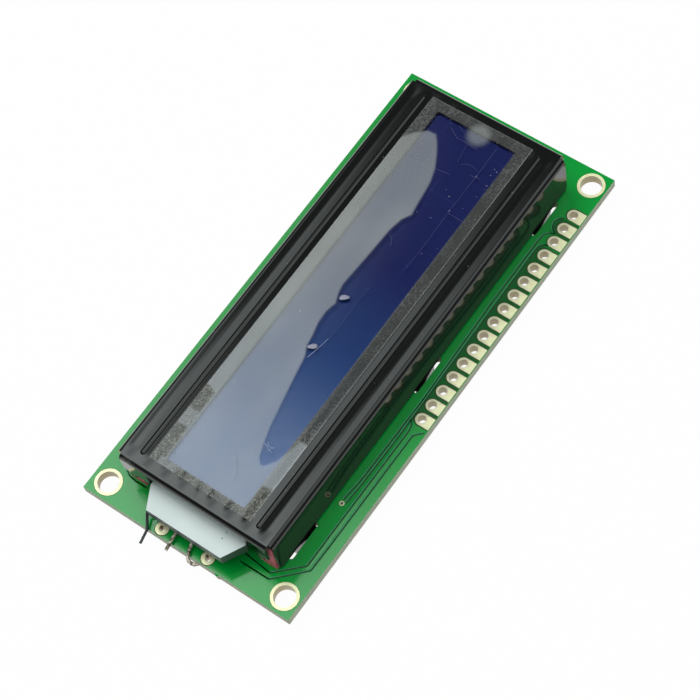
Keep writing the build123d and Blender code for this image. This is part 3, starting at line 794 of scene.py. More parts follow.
def put(name: str, data: bpy.types.ID) -> bpy.types.Object:
    """Put a new object with this data in the scene.

    Args:
        name: The object's name.
        data: Its mesh, curve, camera or light.

    Returns:
        The object.
    """
    made = bpy.data.objects.new(name, data)
    bpy.context.scene.collection.objects.link(made)
    return made


def show(mesh: Mesh, name: str, finish: Finish) -> bpy.types.Object:
    """Add a finished mesh to the model.

    Args:
        mesh: The mesh, already in its place.
        name: The piece's name.
        finish: Its finish, where the mesh has none yet.

    Returns:
        The piece, riding on the module's body.
    """
    piece = put(name, mesh)
    if not mesh.materials:
        mesh.materials.append(finish.material())
    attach(piece, BODY)
    log.info("made %s with %d faces", name, len(mesh.polygons))
    return piece


def polylines(name: str, runs: list[list[Place]]) -> Mesh:
    """Make a mesh of open lines.

    Args:
        name: The mesh's name.
        runs: Each line's points, in millimetres.

    Returns:
        A mesh of points and edges, in metres.
    """
    points: list[Place] = []
    edges: list[tuple[int, int]] = []
    for run in runs:
        first = len(points)
        points += [(x * MM, y * MM, z * MM) for x, y, z in run]
        edges += [(first + i, first + i + 1) for i in range(len(run) - 1)]
    mesh = bpy.data.meshes.new(name)
    mesh.from_pydata(points, edges, [])
    return mesh


def from_build(build: bmesh.types.BMesh, name: str) -> Mesh:
    """Close a mesh under construction.

    Args:
        build: The mesh under construction.
        name: The finished mesh's name.

    Returns:
        The finished mesh.
    """
    mesh = bpy.data.meshes.new(name)
    build.to_mesh(mesh)
    build.free()
    return mesh


def settle(carrier: bpy.types.Object) -> Mesh:
    """Take an object's evaluated shape, and remove the object with its modifiers.

    Args:
        carrier: The object.

    Returns:
        The shape as a plain mesh.
    """
    bpy.context.view_layer.update()
    graph = bpy.context.evaluated_depsgraph_get()
    made = bpy.data.meshes.new_from_object(carrier.evaluated_get(graph), depsgraph=graph)
    carrier.modifiers.clear()
    bpy.data.objects.remove(carrier)
    return made


def grow(seed: Mesh, tree: Tree, inputs: dict[str, object]) -> Mesh:
    """Run a Geometry Nodes tree on a mesh.

    Args:
        seed: The mesh that the tree starts from.
        tree: The tree.
        inputs: The tree's inputs by name.

    Returns:
        The result as a plain mesh.
    """
    carrier = put("seed", seed)
    modifier = carrier.modifiers.new("grow", "NODES")
    modifier.node_group = tree
    for item in tree.interface.items_tree:
        if item.item_type == "SOCKET" and item.in_out == "INPUT" and item.name in inputs:
            modifier[item.identifier] = inputs[item.name]
    return settle(carrier)


def new_tree(name: str, inputs: dict[str, str]) -> tuple[Tree, bpy.types.NodeOutputs]:
    """Start a Geometry Nodes tree, which always takes a geometry and a material.

    Args:
        name: The tree's name.
        inputs: The kind of socket of each further input, by name.

    Returns:
        The tree and the outputs that give its inputs.
    """
    tree = bpy.data.node_groups.new(name, "GeometryNodeTree")
    for way in ("OUTPUT", "INPUT"):
        tree.interface.new_socket("Geometry", in_out=way, socket_type="NodeSocketGeometry")
    for label, kind in {**inputs, "Material": "Material"}.items():
        tree.interface.new_socket(label, in_out="INPUT", socket_type="NodeSocket" + kind)
    return tree, tree.nodes.new("NodeGroupInput").outputs


def end_tree(tree: Tree, given: bpy.types.NodeOutputs, geometry: Socket) -> Tree:
    """Close a tree with Realize Instances and Set Material.

    Args:
        tree: The tree.
        given: The outputs that give its inputs.
        geometry: The output to close.

    Returns:
        The finished tree.
    """
    real = add_node(tree, "GeometryNodeRealizeInstances", {"Geometry": geometry})
    dressed = add_node(tree, "GeometryNodeSetMaterial", {"Geometry": real, "Material": given["Material"]})
    add_node(tree, "NodeGroupOutput", {0: dressed})
    return tree


def ribbon_tree() -> Tree:
    """Make the tree that lays a flat ribbon along each line.

    Returns:
        The tree, which takes the ribbon's width and height and the radius of its corners.
    """
    tree, given = new_tree("ribbon", {"Width": "Float", "Height": "Float", "Corner": "Float"})
    path = add_node(tree, "GeometryNodeMeshToCurve", {"Mesh": given["Geometry"]})
    upright = add_node(tree, "GeometryNodeSetCurveNormal", {"mode": "Z_UP", "Curve": path})
    turns = {"mode": "POLY", "Count": 4, "Limit Radius": True, "Radius": given["Corner"]}
    eased = add_node(tree, "GeometryNodeFilletCurve", {**turns, "Curve": upright})
    sides = {"Width": given["Width"], "Height": given["Height"]}
    section = add_node(tree, "GeometryNodeCurvePrimitiveQuadrilateral", sides)
    lofted = {"Fill Caps": True, "Curve": eased, "Profile Curve": section}
    return end_tree(tree, given, add_node(tree, "GeometryNodeCurveToMesh", lofted))


def ring_tree() -> Tree:
    """Make the tree that sets a raised ring on each point.

    Returns:
        The tree, which takes the radius of the ring's line and of its section.
    """
    tree, given = new_tree("ring", {"Radius": "Float", "Thickness": "Float"})
    ring_points, section_points = 14, 6
    sizes = ((ring_points, given["Radius"]), (section_points, given["Thickness"]))
    circle, section = [
        add_node(tree, "GeometryNodeCurvePrimitiveCircle", {"Resolution": count, "Radius": radius})
        for count, radius in sizes
    ]
    ring = add_node(tree, "GeometryNodeCurveToMesh", {"Curve": circle, "Profile Curve": section})
    copies = {"Points": given["Geometry"], "Instance": ring}
    return end_tree(tree, given, add_node(tree, "GeometryNodeInstanceOnPoints", copies))


def row_tree() -> Tree:
    """Make the tree that repeats a shape along a row.

    Returns:
        The tree, which takes the number of copies, the first one's place and the step.
    """
    tree, given = new_tree("row", {"Count": "Int", "First": "Vector", "Step": "Vector"})
    places = {"Count": given["Count"], "Start Location": given["First"], "Offset": given["Step"]}
    line = add_node(tree, "GeometryNodeMeshLine", places)
    copies = {"Points": line, "Instance": given["Geometry"]}
    return end_tree(tree, given, add_node(tree, "GeometryNodeInstanceOnPoints", copies))


def blister_tree() -> Tree:
    """Make the tree that scatters flat blisters over a surface.

    Returns:
        The tree, which takes the blisters' density, seed, largest radius and flatness.
    """
    sizes = {"Density": "Float", "Seed": "Int", "Radius": "Float", "Flatness": "Float"}
    tree, given = new_tree("blisters", sizes)
    ground = {"Mesh": given["Geometry"], "Density": given["Density"], "Seed": given["Seed"]}
    points = add_node(tree, "GeometryNodeDistributePointsOnFaces", ground)
    drop = add_node(tree, "GeometryNodeMeshIcoSphere", {"Subdivisions": 1, "Radius": given["Radius"]})
    flat = add_node(tree, "ShaderNodeCombineXYZ", {"X": 1.0, "Y": 1.0, "Z": given["Flatness"]})
    pressed = add_node(tree, "GeometryNodeTransform", {"Geometry": drop, "Scale": flat})
    least, most, drawn = 2, 3, 1
    draw = {"data_type": "FLOAT", least: 0.35, most: 1.0, "Seed": given["Seed"]}
    size = add_node(tree, "FunctionNodeRandomValue", draw, drawn)
    copies = {"Points": points, "Instance": pressed, "Scale": size}
    return end_tree(tree, given, add_node(tree, "GeometryNodeInstanceOnPoints", copies))


def ribbons(name: str, runs: list[list[Place]], section: Point, corner: float, finish: Finish) -> Mesh:
    """Lay a flat ribbon along each line.

    Args:
        name: The mesh's name.
        runs: Each line's points, in millimetres.
        section: The ribbon's width and height, in millimetres.
        corner: Radius of its corners, in millimetres.
        finish: Its finish.

    Returns:
        The ribbons' mesh.
    """
    width, height = section
    sizes = {"Width": width * MM, "Height": height * MM, "Corner": corner * MM}
    return grow(polylines(name, runs), ribbon_tree(), {**sizes, "Material": finish.material()})


@dataclass(frozen=True)
class Spot:
    """A small flat dome, such as a bubble, a speck or a drop. All sizes are in millimetres.

    Attributes:
        place: Middle of its base.
        half: Half its length and half its width.
        turn: How far its length is turned from the module's, in degrees.
        height: How far it rises.
        sides: Number of points round it.
        lobes: Number of waves round it.
        waviness: How far its outline waves, as a share of its size.
        profile: Each ring's share of its size and of its height, from the top.
    """

    place: Place
    half: Point
    turn: float
    height: float
    sides: int = 12
    lobes: float = 3.0
    waviness: float = 0.1
    profile: tuple[Point, ...] = ((0.45, 0.8), (0.8, 0.4), (1.0, 0.0))

    def ring(self, reach: float, rise: float) -> list[Place]:
        """Give one ring of points, with a slightly wavy outline.

        Args:
            reach: The ring's share of the dome's size.
            rise: Its share of the dome's height.

        Returns:
            The points, in metres.
        """
        x0, y0, z0 = self.place
        lean = math.radians(self.turn)
        points: list[Place] = []
        for i in range(self.sides):
            angle = math.pi * i / (self.sides / 2)
            wave = reach * (1.0 + self.waviness * math.sin(self.lobes * angle + x0))
            long = wave * self.half[0] * math.cos(angle)
            wide = wave * self.half[1] * math.sin(angle)
            x = x0 + long * math.cos(lean) - wide * math.sin(lean)
            y = y0 + long * math.sin(lean) + wide * math.cos(lean)
            points.append((x * MM, y * MM, (z0 + rise * self.height) * MM))
        return points

    def rise_in(self, build: bmesh.types.BMesh) -> None:
        """Add the dome to a mesh.

        Args:
            build: The mesh under construction.
        """
        rings = [[build.verts.new(point) for point in self.ring(*share)] for share in self.profile]
        build.faces.new(rings[0])
        for inner, outer in zip(rings, rings[1:]):
            for i in range(len(inner)):
                nxt = (i + 1) % len(inner)
                build.faces.new((inner[i], outer[i], outer[nxt], inner[nxt]))
        build.faces.new(list(reversed(rings[-1])))


def dot(spots: list[Spot], name: str, finish: Finish) -> None:
    """Make one piece of several spots.

    Args:
        spots: The spots.
        name: The piece's name.
        finish: Its finish.
    """
    build = bmesh.new()
    for spot in spots:
        spot.rise_in(build)
    mesh = from_build(build, name)
    mesh.polygons.foreach_set("use_smooth", [True] * len(mesh.polygons))
    show(mesh, name, finish)


@dataclass(frozen=True)
class Fan:
    """The conductors that fan out from a chip drop on the rear. All sizes are in millimetres.

    Attributes:
        centre: Middle of the drop along the module.
        radius: Radius of the drop.
        count: Number of conductors on each side of it.
        across: Middle of the drop across the module.
        under: Where a conductor starts under the drop, as a share of its radius.
        crowding: Spacing of the conductors there, as a share of its radius.
        clear: How far beyond the drop the middle conductors turn.
        stagger: How much farther out each next conductor turns.
        pitch: Spacing of the contacts.
        row: Distance of the contact rows from the module's middle.
    """

    centre: float
    radius: float
    count: int
    across: float = 1.38
    under: float = 0.9
    crowding: float = 0.16
    clear: float = 0.9
    stagger: float = 0.35
    pitch: float = 1.15
    row: float = 11.2

    def runs(self) -> list[Run]:
        """Give the conductors' lines.

        Returns:
            Each conductor's points, from the drop to its contact.
        """
        runs: list[Run] = []
        for way in (-1, 1):
            for i in range(self.count):
                step = i - (self.count - 1) / 2
                leave = self.centre + self.crowding * step * self.radius
                arrive = self.centre + self.pitch * step
                turn = way * (self.radius + self.clear + self.stagger * abs(step))
                run = [(leave, self.across + way * self.under * self.radius), (arrive, way * self.row)]
                # The middle conductor is straight, and a turn on a straight line would fold its ribbon
                if step:
                    run.insert(1, (arrive, self.across + turn))
                runs.append(run)
        return runs


@dataclass
class Board:
    """The printed board's lacquered details. All sizes are in millimetres.

    Attributes:
        near_end: Place of the board's near end.
        rear_face: Height of its rear face.
        lift: How far a lacquer line stands off a face.
        channel_width: Width of a sunk line between copper areas, dark with painted shade.
        highlight_width: Width of the painted highlight beside it.
        highlight_step: Distance from the sunk line to the painted highlight, towards the light.
        rear_width: Width of a conductor line on the rear.
        corner: Radius of the lines' corners.
        header_first: Place of the first header hole.
        header_step: Spacing of the header holes.
        header_count: Number of header holes.
        header_pad: Width of a header pad, and the length of its tail.
        pad_gap: Width of the bare gap round a pad.
        ring_gap: Width of the bare gap round a mounting ring.
        hole_radius: Radius of a header hole.
        rim_highlight_width: Width of the painted highlight on a pad's rim.
        highlight_short: How far that painted highlight ends before the tail does.
        arc_steps: Number of steps in an arc round a hole.
        lamp_pads: Centres of the two lamp pads.
        lamp_pad_radius: Radius of a lamp pad.
        flux_places: Places of the two drops of flux on them.
        hole_places: Distances of the mounting holes from the middle.
        hole_ring_radius: Radius of a mounting hole's ring.
        via: Place of the contact hole on the front.
        via_ring: Radius of its ring's line and of the ring's section.
        rear_via_ring: The same of the contact holes on the rear.
        fans: The conductors from the two chip drops.
        nib_ends: Where the torn nib starts and ends along the near edge.
    """

    near_end: float = 40.0
    rear_face: float = -1.6
    lift: float = 0.012
    channel_width: float = 0.2
    highlight_width: float = 0.2
    highlight_step: float = 0.22
    rear_width: float = 0.35
    corner: float = 0.5
    header_first: Point = (-32.0, 16.08)
    header_step: float = 2.54
    header_count: int = 16
    header_pad: Point = (1.9, 1.68)
    pad_gap: float = 0.14
    ring_gap: float = 0.08
    hole_radius: float = 0.62
    rim_highlight_width: float = 0.14
    highlight_short: float = 0.2
    arc_steps: int = 16
    lamp_pads: tuple[Point, Point] = ((38.85, -4.745), (38.85, 3.305))
    lamp_pad_radius: float = 1.0
    flux_places: tuple[Point, Point] = ((38.76, -4.94), (38.65, 3.0))
    hole_places: Point = (37.5, 15.5)
    hole_ring_radius: float = 2.05
    via: Point = (22.35, 14.05)
    via_ring: Point = (0.3, 0.11)
    rear_via_ring: Point = (0.3, 0.1)
    fans: tuple[Fan, Fan] = (Fan(-15.0, 6.6, 11), Fan(14.0, 5.6, 9))
    nib_ends: Point = (5.4, 6.1)

    def front_lines(self) -> list[Run]:
        """Give the sunk lines of the front face.

        Returns:
            Each line's points.
        """
        via_inner = [(21.75, 13.95), (17.8, 14.3), (3.8, 14.5), (-14.0, 14.05), (-25.9, 14.05)]
        via_inner += [(-27.2, 14.2), (-27.9, 14.85), (-28.0, 15.4)]
        via_outer = [(22.0, 14.55), (18.8, 14.75), (9.7, 14.9), (-14.0, 14.6), (-24.6, 14.55)]
        via_outer += [(-25.2, 14.6), (-25.8, 15.1), (-25.9, 15.7)]
        end_inner = [(35.45, 7.2), (35.9, 11.8), (32.3, 15.5), (26.9, 15.5), (8.75, 15.6)]
        end_inner += [(7.75, 15.45), (6.95, 14.9)]
        end_outer = [(36.75, 7.3), (36.7, 12.2), (32.6, 16.3), (28.2, 16.4), (8.8, 16.45), (7.65, 17.6)]
        second_pad = [(-30.9, 15.2), (-30.55, 14.6), (-29.9, 14.3), (-29.1, 14.45), (-28.4, 14.9)]
        second_pad += [(-28.1, 15.5)]
        free_corner = [(34.6, -14.4), (35.1, -13.55), (35.3, -12.4), (35.25, -10.2)]
        return [via_inner, via_outer, end_inner, end_outer, second_pad, free_corner]

    def rear_lines(self) -> list[Run]:
        """Give the rear face's conductor lines, fanned from the two chip drops to the contact rows."""
        return [run for fan in self.fans for run in fan.runs()]

    def beside(self, runs: list[Run]) -> list[Run]:
        """Shift lines towards the free side, where the light comes from, for the painted highlight beside
        each sunk one.
        """
        return [[(x, y - self.highlight_step) for x, y in run] for run in runs]

    def lines(self, runs: list[Run], side: Side, width: float, name: str, finish: Finish) -> None:
        """Lay lacquer lines on a face.

        Args:
            runs: The lines.
            side: The face.
            width: Width of each line.
            name: The piece's name.
            finish: Its finish.
        """
        height = self.lift if side is Side.FRONT else self.rear_face - self.lift
        raised = [[(x, y, height) for x, y in run] for run in runs]
        mesh = ribbons(name, raised, (width, 2 * self.lift), self.corner, finish)
        show(mesh, name, finish)

    def header_row(self, outline: list[Place], width: float, name: str, finish: Finish) -> None:
        """Lay a line round each header pad.

        Args:
            outline: The line's points about a pad's hole.
            width: Width of the line.
            name: The piece's name.
            finish: Its finish.
        """
        x, y = self.header_first
        places = {
            "Count": self.header_count,
            "First": (x * MM, y * MM, 0.0),
            "Step": (self.header_step * MM, 0.0, 0.0),
        }
        seed = ribbons(name, [outline], (width, 2 * self.lift), 0.0, finish)
        row = grow(seed, row_tree(), {**places, "Material": finish.material()})
        show(row, name, finish)

    def arc(self, radius: float, height: float, start: float, sweep: float) -> list[Place]:
        """Give the points of an arc about a pad's hole.

        Args:
            radius: The arc's radius.
            height: Its height.
            start: The angle where it starts.
            sweep: The angle that it covers.

        Returns:
            The points along it.
        """
        turns = [start + sweep * i / self.arc_steps for i in range(self.arc_steps + 1)]
        return [(radius * math.cos(a), radius * math.sin(a), height) for a in turns]

    def pad_gaps(self) -> None:
        """Lay the bare gap and the painted rim highlights of each header pad, and the gaps of lamp pads and
        rings.
        """
        width, tail = self.header_pad
        radius = width / 2 + self.pad_gap
        rim = self.arc(radius, self.lift, math.pi, math.pi)
        outline = [(-radius, tail, self.lift), *rim, (radius, tail, self.lift)]
        self.header_row(outline, self.pad_gap, "header_pad_gaps", MASK_GAP)
        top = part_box("header_pads")[1][2] / MM
        # Pale strips round each pad and hole are a painted highlight on the tin's rounded rim
        radius = width / 2 - self.rim_highlight_width / 2
        rim = self.arc(radius, top, math.pi, math.pi)
        tail -= self.highlight_short
        outline = [(-radius, tail, top), *rim, (radius, tail, top)]
        self.header_row(outline, self.rim_highlight_width, "header_pad_highlights", TIN_RIM_HIGHLIGHT)
        rim = self.arc(self.hole_radius + self.rim_highlight_width / 2, top, 0.0, 2.0 * math.pi)
        self.header_row(rim, self.rim_highlight_width, "header_hole_highlights", TIN_RIM_HIGHLIGHT)
        long, across = self.hole_places
        holes = [(sx * long, sy * across, 0.0) for sx in (-1, 1) for sy in (-1, 1)]
        half = self.ring_gap / 2
        self.rings(holes, (self.hole_ring_radius + half, half), "mounting_ring_gaps", MASK_GAP)
        lamps = [(x, y, 0.0) for x, y in self.lamp_pads]
        half = self.pad_gap / 2
        self.rings(lamps, (self.lamp_pad_radius + half, half), "lamp_pad_gaps", MASK_GAP)

    def rings(self, places: list[Place], radii: Point, name: str, finish: Finish) -> None:
        """Set a ring on each place.

        Args:
            places: The rings' centres.
            radii: Radius of a ring's line and of its section.
            name: The piece's name.
            finish: Its finish.
        """
        sizes = {"Radius": radii[0] * MM, "Thickness": radii[1] * MM, "Material": finish.material()}
        mesh = grow(polylines(name, [[place] for place in places]), ring_tree(), sizes)
        show(mesh, name, finish)

    def nib(self) -> None:
        """Leave the small torn nib of laminate on the near edge."""
        low, high = self.nib_ends
        upper = [(0.0, low, -0.15), (0.22, low + 0.12, -0.35), (0.26, high - 0.2, -0.3), (0.0, high, -0.1)]
        lower = [(0.0, low, -1.5), (0.15, low + 0.2, -1.35), (0.18, high - 0.3, -1.4), (0.0, high, -1.55)]
        build = bmesh.new()
        corners = [((self.near_end + out) * MM, y * MM, z * MM) for out, y, z in upper + lower]
        bmesh.ops.convex_hull(build, input=[build.verts.new(corner) for corner in corners])
        bmesh.ops.recalc_face_normals(build, faces=build.faces)
        show(from_build(build, "torn_nib"), "torn_nib", SOLDER_MASK)

    def build(self) -> None:
        """Make all the board's lines, gaps, vias and its nib."""
        front = self.front_lines()
        rear = self.rear_lines()
        # The front channels' dark lines carry painted shade, and the pale lines beside them are a painted
        # highlight on each channel's lit wall
        self.lines(front, Side.FRONT, self.channel_width, "front_channels", CHANNEL_LACQUER_AND_SHADE)
        self.lines(self.beside(front), Side.FRONT, self.highlight_width, "front_channel_highlights", COPPER_LACQUER_AND_HIGHLIGHT)
        self.lines(rear, Side.REAR, self.rear_width, "rear_conductors", COPPER_LACQUER_AND_HIGHLIGHT)
        self.pad_gaps()
        self.rings([(*self.via, 0.0)], self.via_ring, "front_via", TIN)
        # Each drop of flux is sunk by half into the pad
        rise = 0.06
        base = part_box("backlight_pads")[1][2] / MM - rise / 2
        flux = [Spot((x, y, base), half=(0.34, 0.24), turn=60.0, height=rise) for x, y in self.flux_places]
        dot(flux, "lamp_pad_flux", FLUX)
        # A dark spot over the via's hole is painted shade
        hole = Spot((*self.via, 0.005), half=(0.2, 0.2), turn=0.0, height=0.01)
        dot([hole], "front_via_hole_shade", SOOT_AND_HOLE_SHADE)
        ends = [(*run[-1], self.rear_face) for run in rear]
        self.rings(ends, self.rear_via_ring, "rear_vias", TIN)
        self.nib()


@dataclass
class Film:
    """The peel-off film over the window. All sizes are in millimetres.

    Attributes:
        low: Its lowest corner.
        high: Its highest corner.
        window_low: The window's lowest corner.
        window_high: The window's highest corner.
        cell: Size of its mesh cells.
        clearance: How far its underside stays off the bezel.
        edge_soft: Width over which the veiled area, haze with painted reflection, fades.
        far_haze_and_reflection: Share of the veil that is left at the far end.
        far_fade: Where along the module the veil has thinned so, and where it is full.
        spot: Middle of a veiled spot at the far end, painted reflection over haze.
        spot_reach: How far from it the spot ends, and how far it is full.
        spot_squash: How much shorter that spot counts along the module.
        spot_haze_and_reflection: How strong that spot's veil is.
        lap_haze_and_reflection: How strong the veil, with the same painted reflection, is on the smooth
            patches of the laps.
        smooth_end: Middle of a smooth patch on the near end's lap.
        smooth_end_half: Half its length where it ends and where it is full.
        smooth_end_from: Where along the module it starts and is full.
        smooth_lap: Middle of a smooth patch on the free side's lap.
        smooth_lap_half: Half its length where it ends and where it is full.
        smooth_lap_from: Where across the module it starts and is full.
        lap_from: Where a lap starts and is full, out from the window's edge.
        near_bubbles: Where along the module the bubbles near the tongue start, and where they are full.
        far_bubbles: The same at the far end.
        bubble_patch: Size of the patches with more or fewer bubbles.
        side_rim: Strength of the light on the header side's edge.
        other_rim: The same on the other edges.
        score: How far a scratch stands off the film, and its height.
        score_corner: Radius of a scratch's corners.
        parting_shift: How far the parting edge lies from the milky area's edge.
        parting_along: Where the parting edge shows along the module.
        parting_across: Where it shows across the module.
    """

    MARKS = ("haze_and_reflection", "lap", "bubbly", "rim")

    low: Place = (-34.38, -9.32, 7.9)
    high: Place = (33.22, 8.08, 7.98)
    window_low: Point = (-32.63, -7.27)
    window_high: Point = (32.07, 6.23)
    cell: float = 0.2
    clearance: float = 0.01
    edge_soft: float = 0.22
    far_haze_and_reflection: float = 0.8
    far_fade: Point = (-28.0, -8.0)
    spot: Point = (-32.4, 0.1)
    spot_reach: Point = (2.3, 0.9)
    spot_squash: float = 0.95
    spot_haze_and_reflection: float = 0.75
    lap_haze_and_reflection: float = 0.7
    smooth_end: float = -6.5
    smooth_end_half: Point = (1.6, 1.3)
    smooth_end_from: Point = (31.9, 32.2)
    smooth_lap: float = 25.5
    smooth_lap_half: Point = (1.5, 1.2)
    smooth_lap_from: Point = (-7.2, -7.4)
    lap_from: Point = (-0.05, 0.1)
    near_bubbles: Point = (14.0, 22.0)
    far_bubbles: Point = (-22.0, -30.0)
    bubble_patch: float = 3.5
    side_rim: float = 0.22
    other_rim: float = 0.08
    score: Point = (0.004, 0.008)
    score_corner: float = 0.3
    parting_shift: float = 0.14
    parting_along: Point = (-21.0, 12.0)
    parting_across: Point = (-3.0, 0.5)

    def __post_init__(self) -> None:
        """Work out the milky area's edge."""
        self.outline = self.stand_off_outline()

    def stand_off_outline(self) -> Run:
        """Give the edge of the area where the film stands off the glass.

        Returns:
            The points round it.
        """
        front = [(-26.0, -9.6), (-28.0, -8.1), (-29.2, -6.6), (-29.3, -5.3), (-28.2, -4.3), (-26.5, -3.2)]
        front += [(-24.5, -2.1), (-22.3, -1.4), (-20.1, -1.1), (-18.4, -0.9), (-16.6, -0.6), (-15.2, -1.4)]
        front += [(-13.0, -1.85), (-7.5, -2.1), (-2.4, -2.4), (-0.9, -2.1), (0.6, -1.5), (2.3, -1.9)]
        front += [(4.2, -1.8), (6.3, -1.3), (8.1, -1.0), (9.4, -0.3), (14.4, 0.7), (20.5, 2.0), (23.2, 2.8)]
        front += [(25.2, 3.6), (25.9, 4.4), (25.5, 5.0), (24.3, 5.9), (22.0, 6.5), (20.2, 6.9), (20.2, 8.4)]
        back = [(28.0, 8.4), (28.2, 6.4), (32.2, 6.3), (32.2, -7.4), (20.6, -7.6), (20.0, -9.6)]
        return front + back

    def inside(self, point: Point, outline: Run) -> float:
        """Give how far a point lies inside an outline.

        Args:
            point: The point.
            outline: The outline's corners.

        Returns:
            The distance to the outline, below nought outside it.
        """
        px, py = point
        best = math.inf
        within = False
        for (ax, ay), (bx, by) in zip(outline, outline[1:] + outline[:1]):
            dx, dy = bx - ax, by - ay
            share = ((px - ax) * dx + (py - ay) * dy) / (dx * dx + dy * dy)
            share = min(1.0, max(0.0, share))
            best = min(best, math.hypot(px - ax - share * dx, py - ay - share * dy))
            if (ay > py) != (by > py) and px < ax + (py - ay) * dx / dy:
                within = not within
        return best if within else -best

    def haze_and_reflection(self, x: float, y: float) -> float:
        """Give how strong the film's veil, haze with painted reflection, is at a point.

        Args:
            x: Its place along the module.
            y: Its place across the module.

        Returns:
            Nought where the film is clear, up to one where the veil is full.
        """
        # The stand-off area, the far spot and the smooth lap patches carry a veil that is partly haze and
        # partly painted reflection
        stood_off = smoothstep(-self.edge_soft, self.edge_soft, self.inside((x, y), self.outline))
        stood_off *= self.far_haze_and_reflection + (1.0 - self.far_haze_and_reflection) * smoothstep(*self.far_fade, x)
        away = math.hypot((x - self.spot[0]) * self.spot_squash, y - self.spot[1])
        spot = self.spot_haze_and_reflection * smoothstep(*self.spot_reach, away)
        end = smoothstep(*self.smooth_end_half, abs(y - self.smooth_end))
        end *= smoothstep(*self.smooth_end_from, x)
        side = smoothstep(*self.smooth_lap_half, abs(x - self.smooth_lap))
        side *= smoothstep(*self.smooth_lap_from, y)
        return max(stood_off, spot, self.lap_haze_and_reflection * end, self.lap_haze_and_reflection * side)

    def lapped(self, x: float, y: float) -> float:
        """Tell where the film laps the bezel.

        Args:
            x: The point's place along the module.
            y: Its place across the module.

        Returns:
            One on the laps and nought over the window.
        """
        out_x = max(self.window_low[0] - x, x - self.window_high[0])
        out_y = max(self.window_low[1] - y, y - self.window_high[1])
        return smoothstep(*self.lap_from, max(out_x, out_y))

    def bubbly(self, x: float, y: float) -> float:
        """Give how bubbly the film is at a point of its lap.

        Args:
            x: The point's place along the module.
            y: Its place across the module.

        Returns:
            The share of bubbles, nought over the window.
        """
        least, even, at_near, at_far, in_patches = 0.05, 0.15, 0.85, 0.1, 0.3
        layer = 1.7
        patch = noise.noise(Vector((x / self.bubble_patch, y / self.bubble_patch, layer)))
        near = smoothstep(*self.near_bubbles, x)
        far = smoothstep(*self.far_bubbles, x)
        thick = even + at_near * near + at_far * far + in_patches * patch
        return self.lapped(x, y) * (1.0 - self.haze_and_reflection(x, y)) * max(least, thick)

    def build(self) -> None:
        """Make the film, its blisters and its scratches."""
        self.sheet()
        self.blisters()
        self.scratches()
        self.domes()
        self.specks()

    def sheet(self) -> None:
        """Make the film itself, with its veil, lap, bubbly and rim attributes; the veil is partly painted
        reflection and the rim a painted highlight.
        """
        (x0, y0, base), (x1, y1, top) = self.low, self.high
        across = round((x1 - x0) / self.cell)
        along = round((y1 - y0) / self.cell)
        points: list[Place] = []
        marks: list[tuple[float, float, float, float]] = []
        for j in range(along + 1):
            y = y0 + (y1 - y0) * j / along
            for i in range(across + 1):
                x = x0 + (x1 - x0) * i / across
                on_edge = i in (0, across) or j == 0
                rim = self.side_rim if j == along else self.other_rim if on_edge else 0.0
                points.append((x * MM, y * MM, top * MM))
                marks.append((self.haze_and_reflection(x, y), self.lapped(x, y), self.bubbly(x, y), rim))
        row = across + 1
        faces = [
            (j * row + i, j * row + i + 1, (j + 1) * row + i + 1, (j + 1) * row + i)
            for j in range(along)
            for i in range(across)
        ]
        loop = list(range(row))
        loop += [j * row + across for j in range(1, along + 1)]
        loop += [along * row + i for i in range(across - 1, -1, -1)]
        loop += [j * row for j in range(along - 1, 0, -1)]
        under = len(points)
        for k in loop:
            x, y, _ = points[k]
            points.append((x, y, (base + self.clearance) * MM))
            marks.append((0.0, 0.0, 0.0, 0.0))
        count = len(loop)
        for k in range(count):
            nxt = (k + 1) % count
            faces.append((loop[nxt], loop[k], under + k, under + nxt))
        faces.append(tuple(under + k for k in reversed(range(count))))
        mesh = bpy.data.meshes.new("peel_film")
        mesh.from_pydata(points, [], faces)
        for label, values in zip(self.MARKS, zip(*marks)):
            layer = mesh.attributes.new(label, "FLOAT", "POINT")
            layer.data.foreach_set("value", values)
        mesh.update()
        piece = show(mesh, "peel_film", FILM)
        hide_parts("protective_film")

    def blisters(self) -> None:
        """Scatter small air blisters under the lapped edges at the near end."""
        edge = 0.15
        free_side_from = 17.0
        header_side_from = 28.5
        per_square_metre = 1.6e6
        largest = 0.11
        _, y0, _ = self.low
        x1, y1, z = self.high
        _, wy0 = self.window_low
        wx1, wy1 = self.window_high
        bands = [
            (free_side_from, y0 + edge, x1 - edge, wy0 - edge),
            (header_side_from, wy1 + edge, x1 - edge, y1 - edge),
            (wx1 + edge, wy0, x1 - edge, wy1),
        ]
        points: list[Place] = []
        faces: list[tuple[int, int, int, int]] = []
        for ax, ay, bx, by in bands:
            first = len(points)
            points += [(x * MM, y * MM, z * MM) for x, y in ((ax, ay), (bx, ay), (bx, by), (ax, by))]
            faces.append((first, first + 1, first + 2, first + 3))
        seed = bpy.data.meshes.new("lap_bands")
        seed.from_pydata(points, [], faces)
        sizes = {"Density": per_square_metre, "Seed": 5, "Radius": largest * MM, "Flatness": 0.2}
        mesh = grow(seed, blister_tree(), {**sizes, "Material": BLISTER.material()})
        show(mesh, "film_blisters", BLISTER)

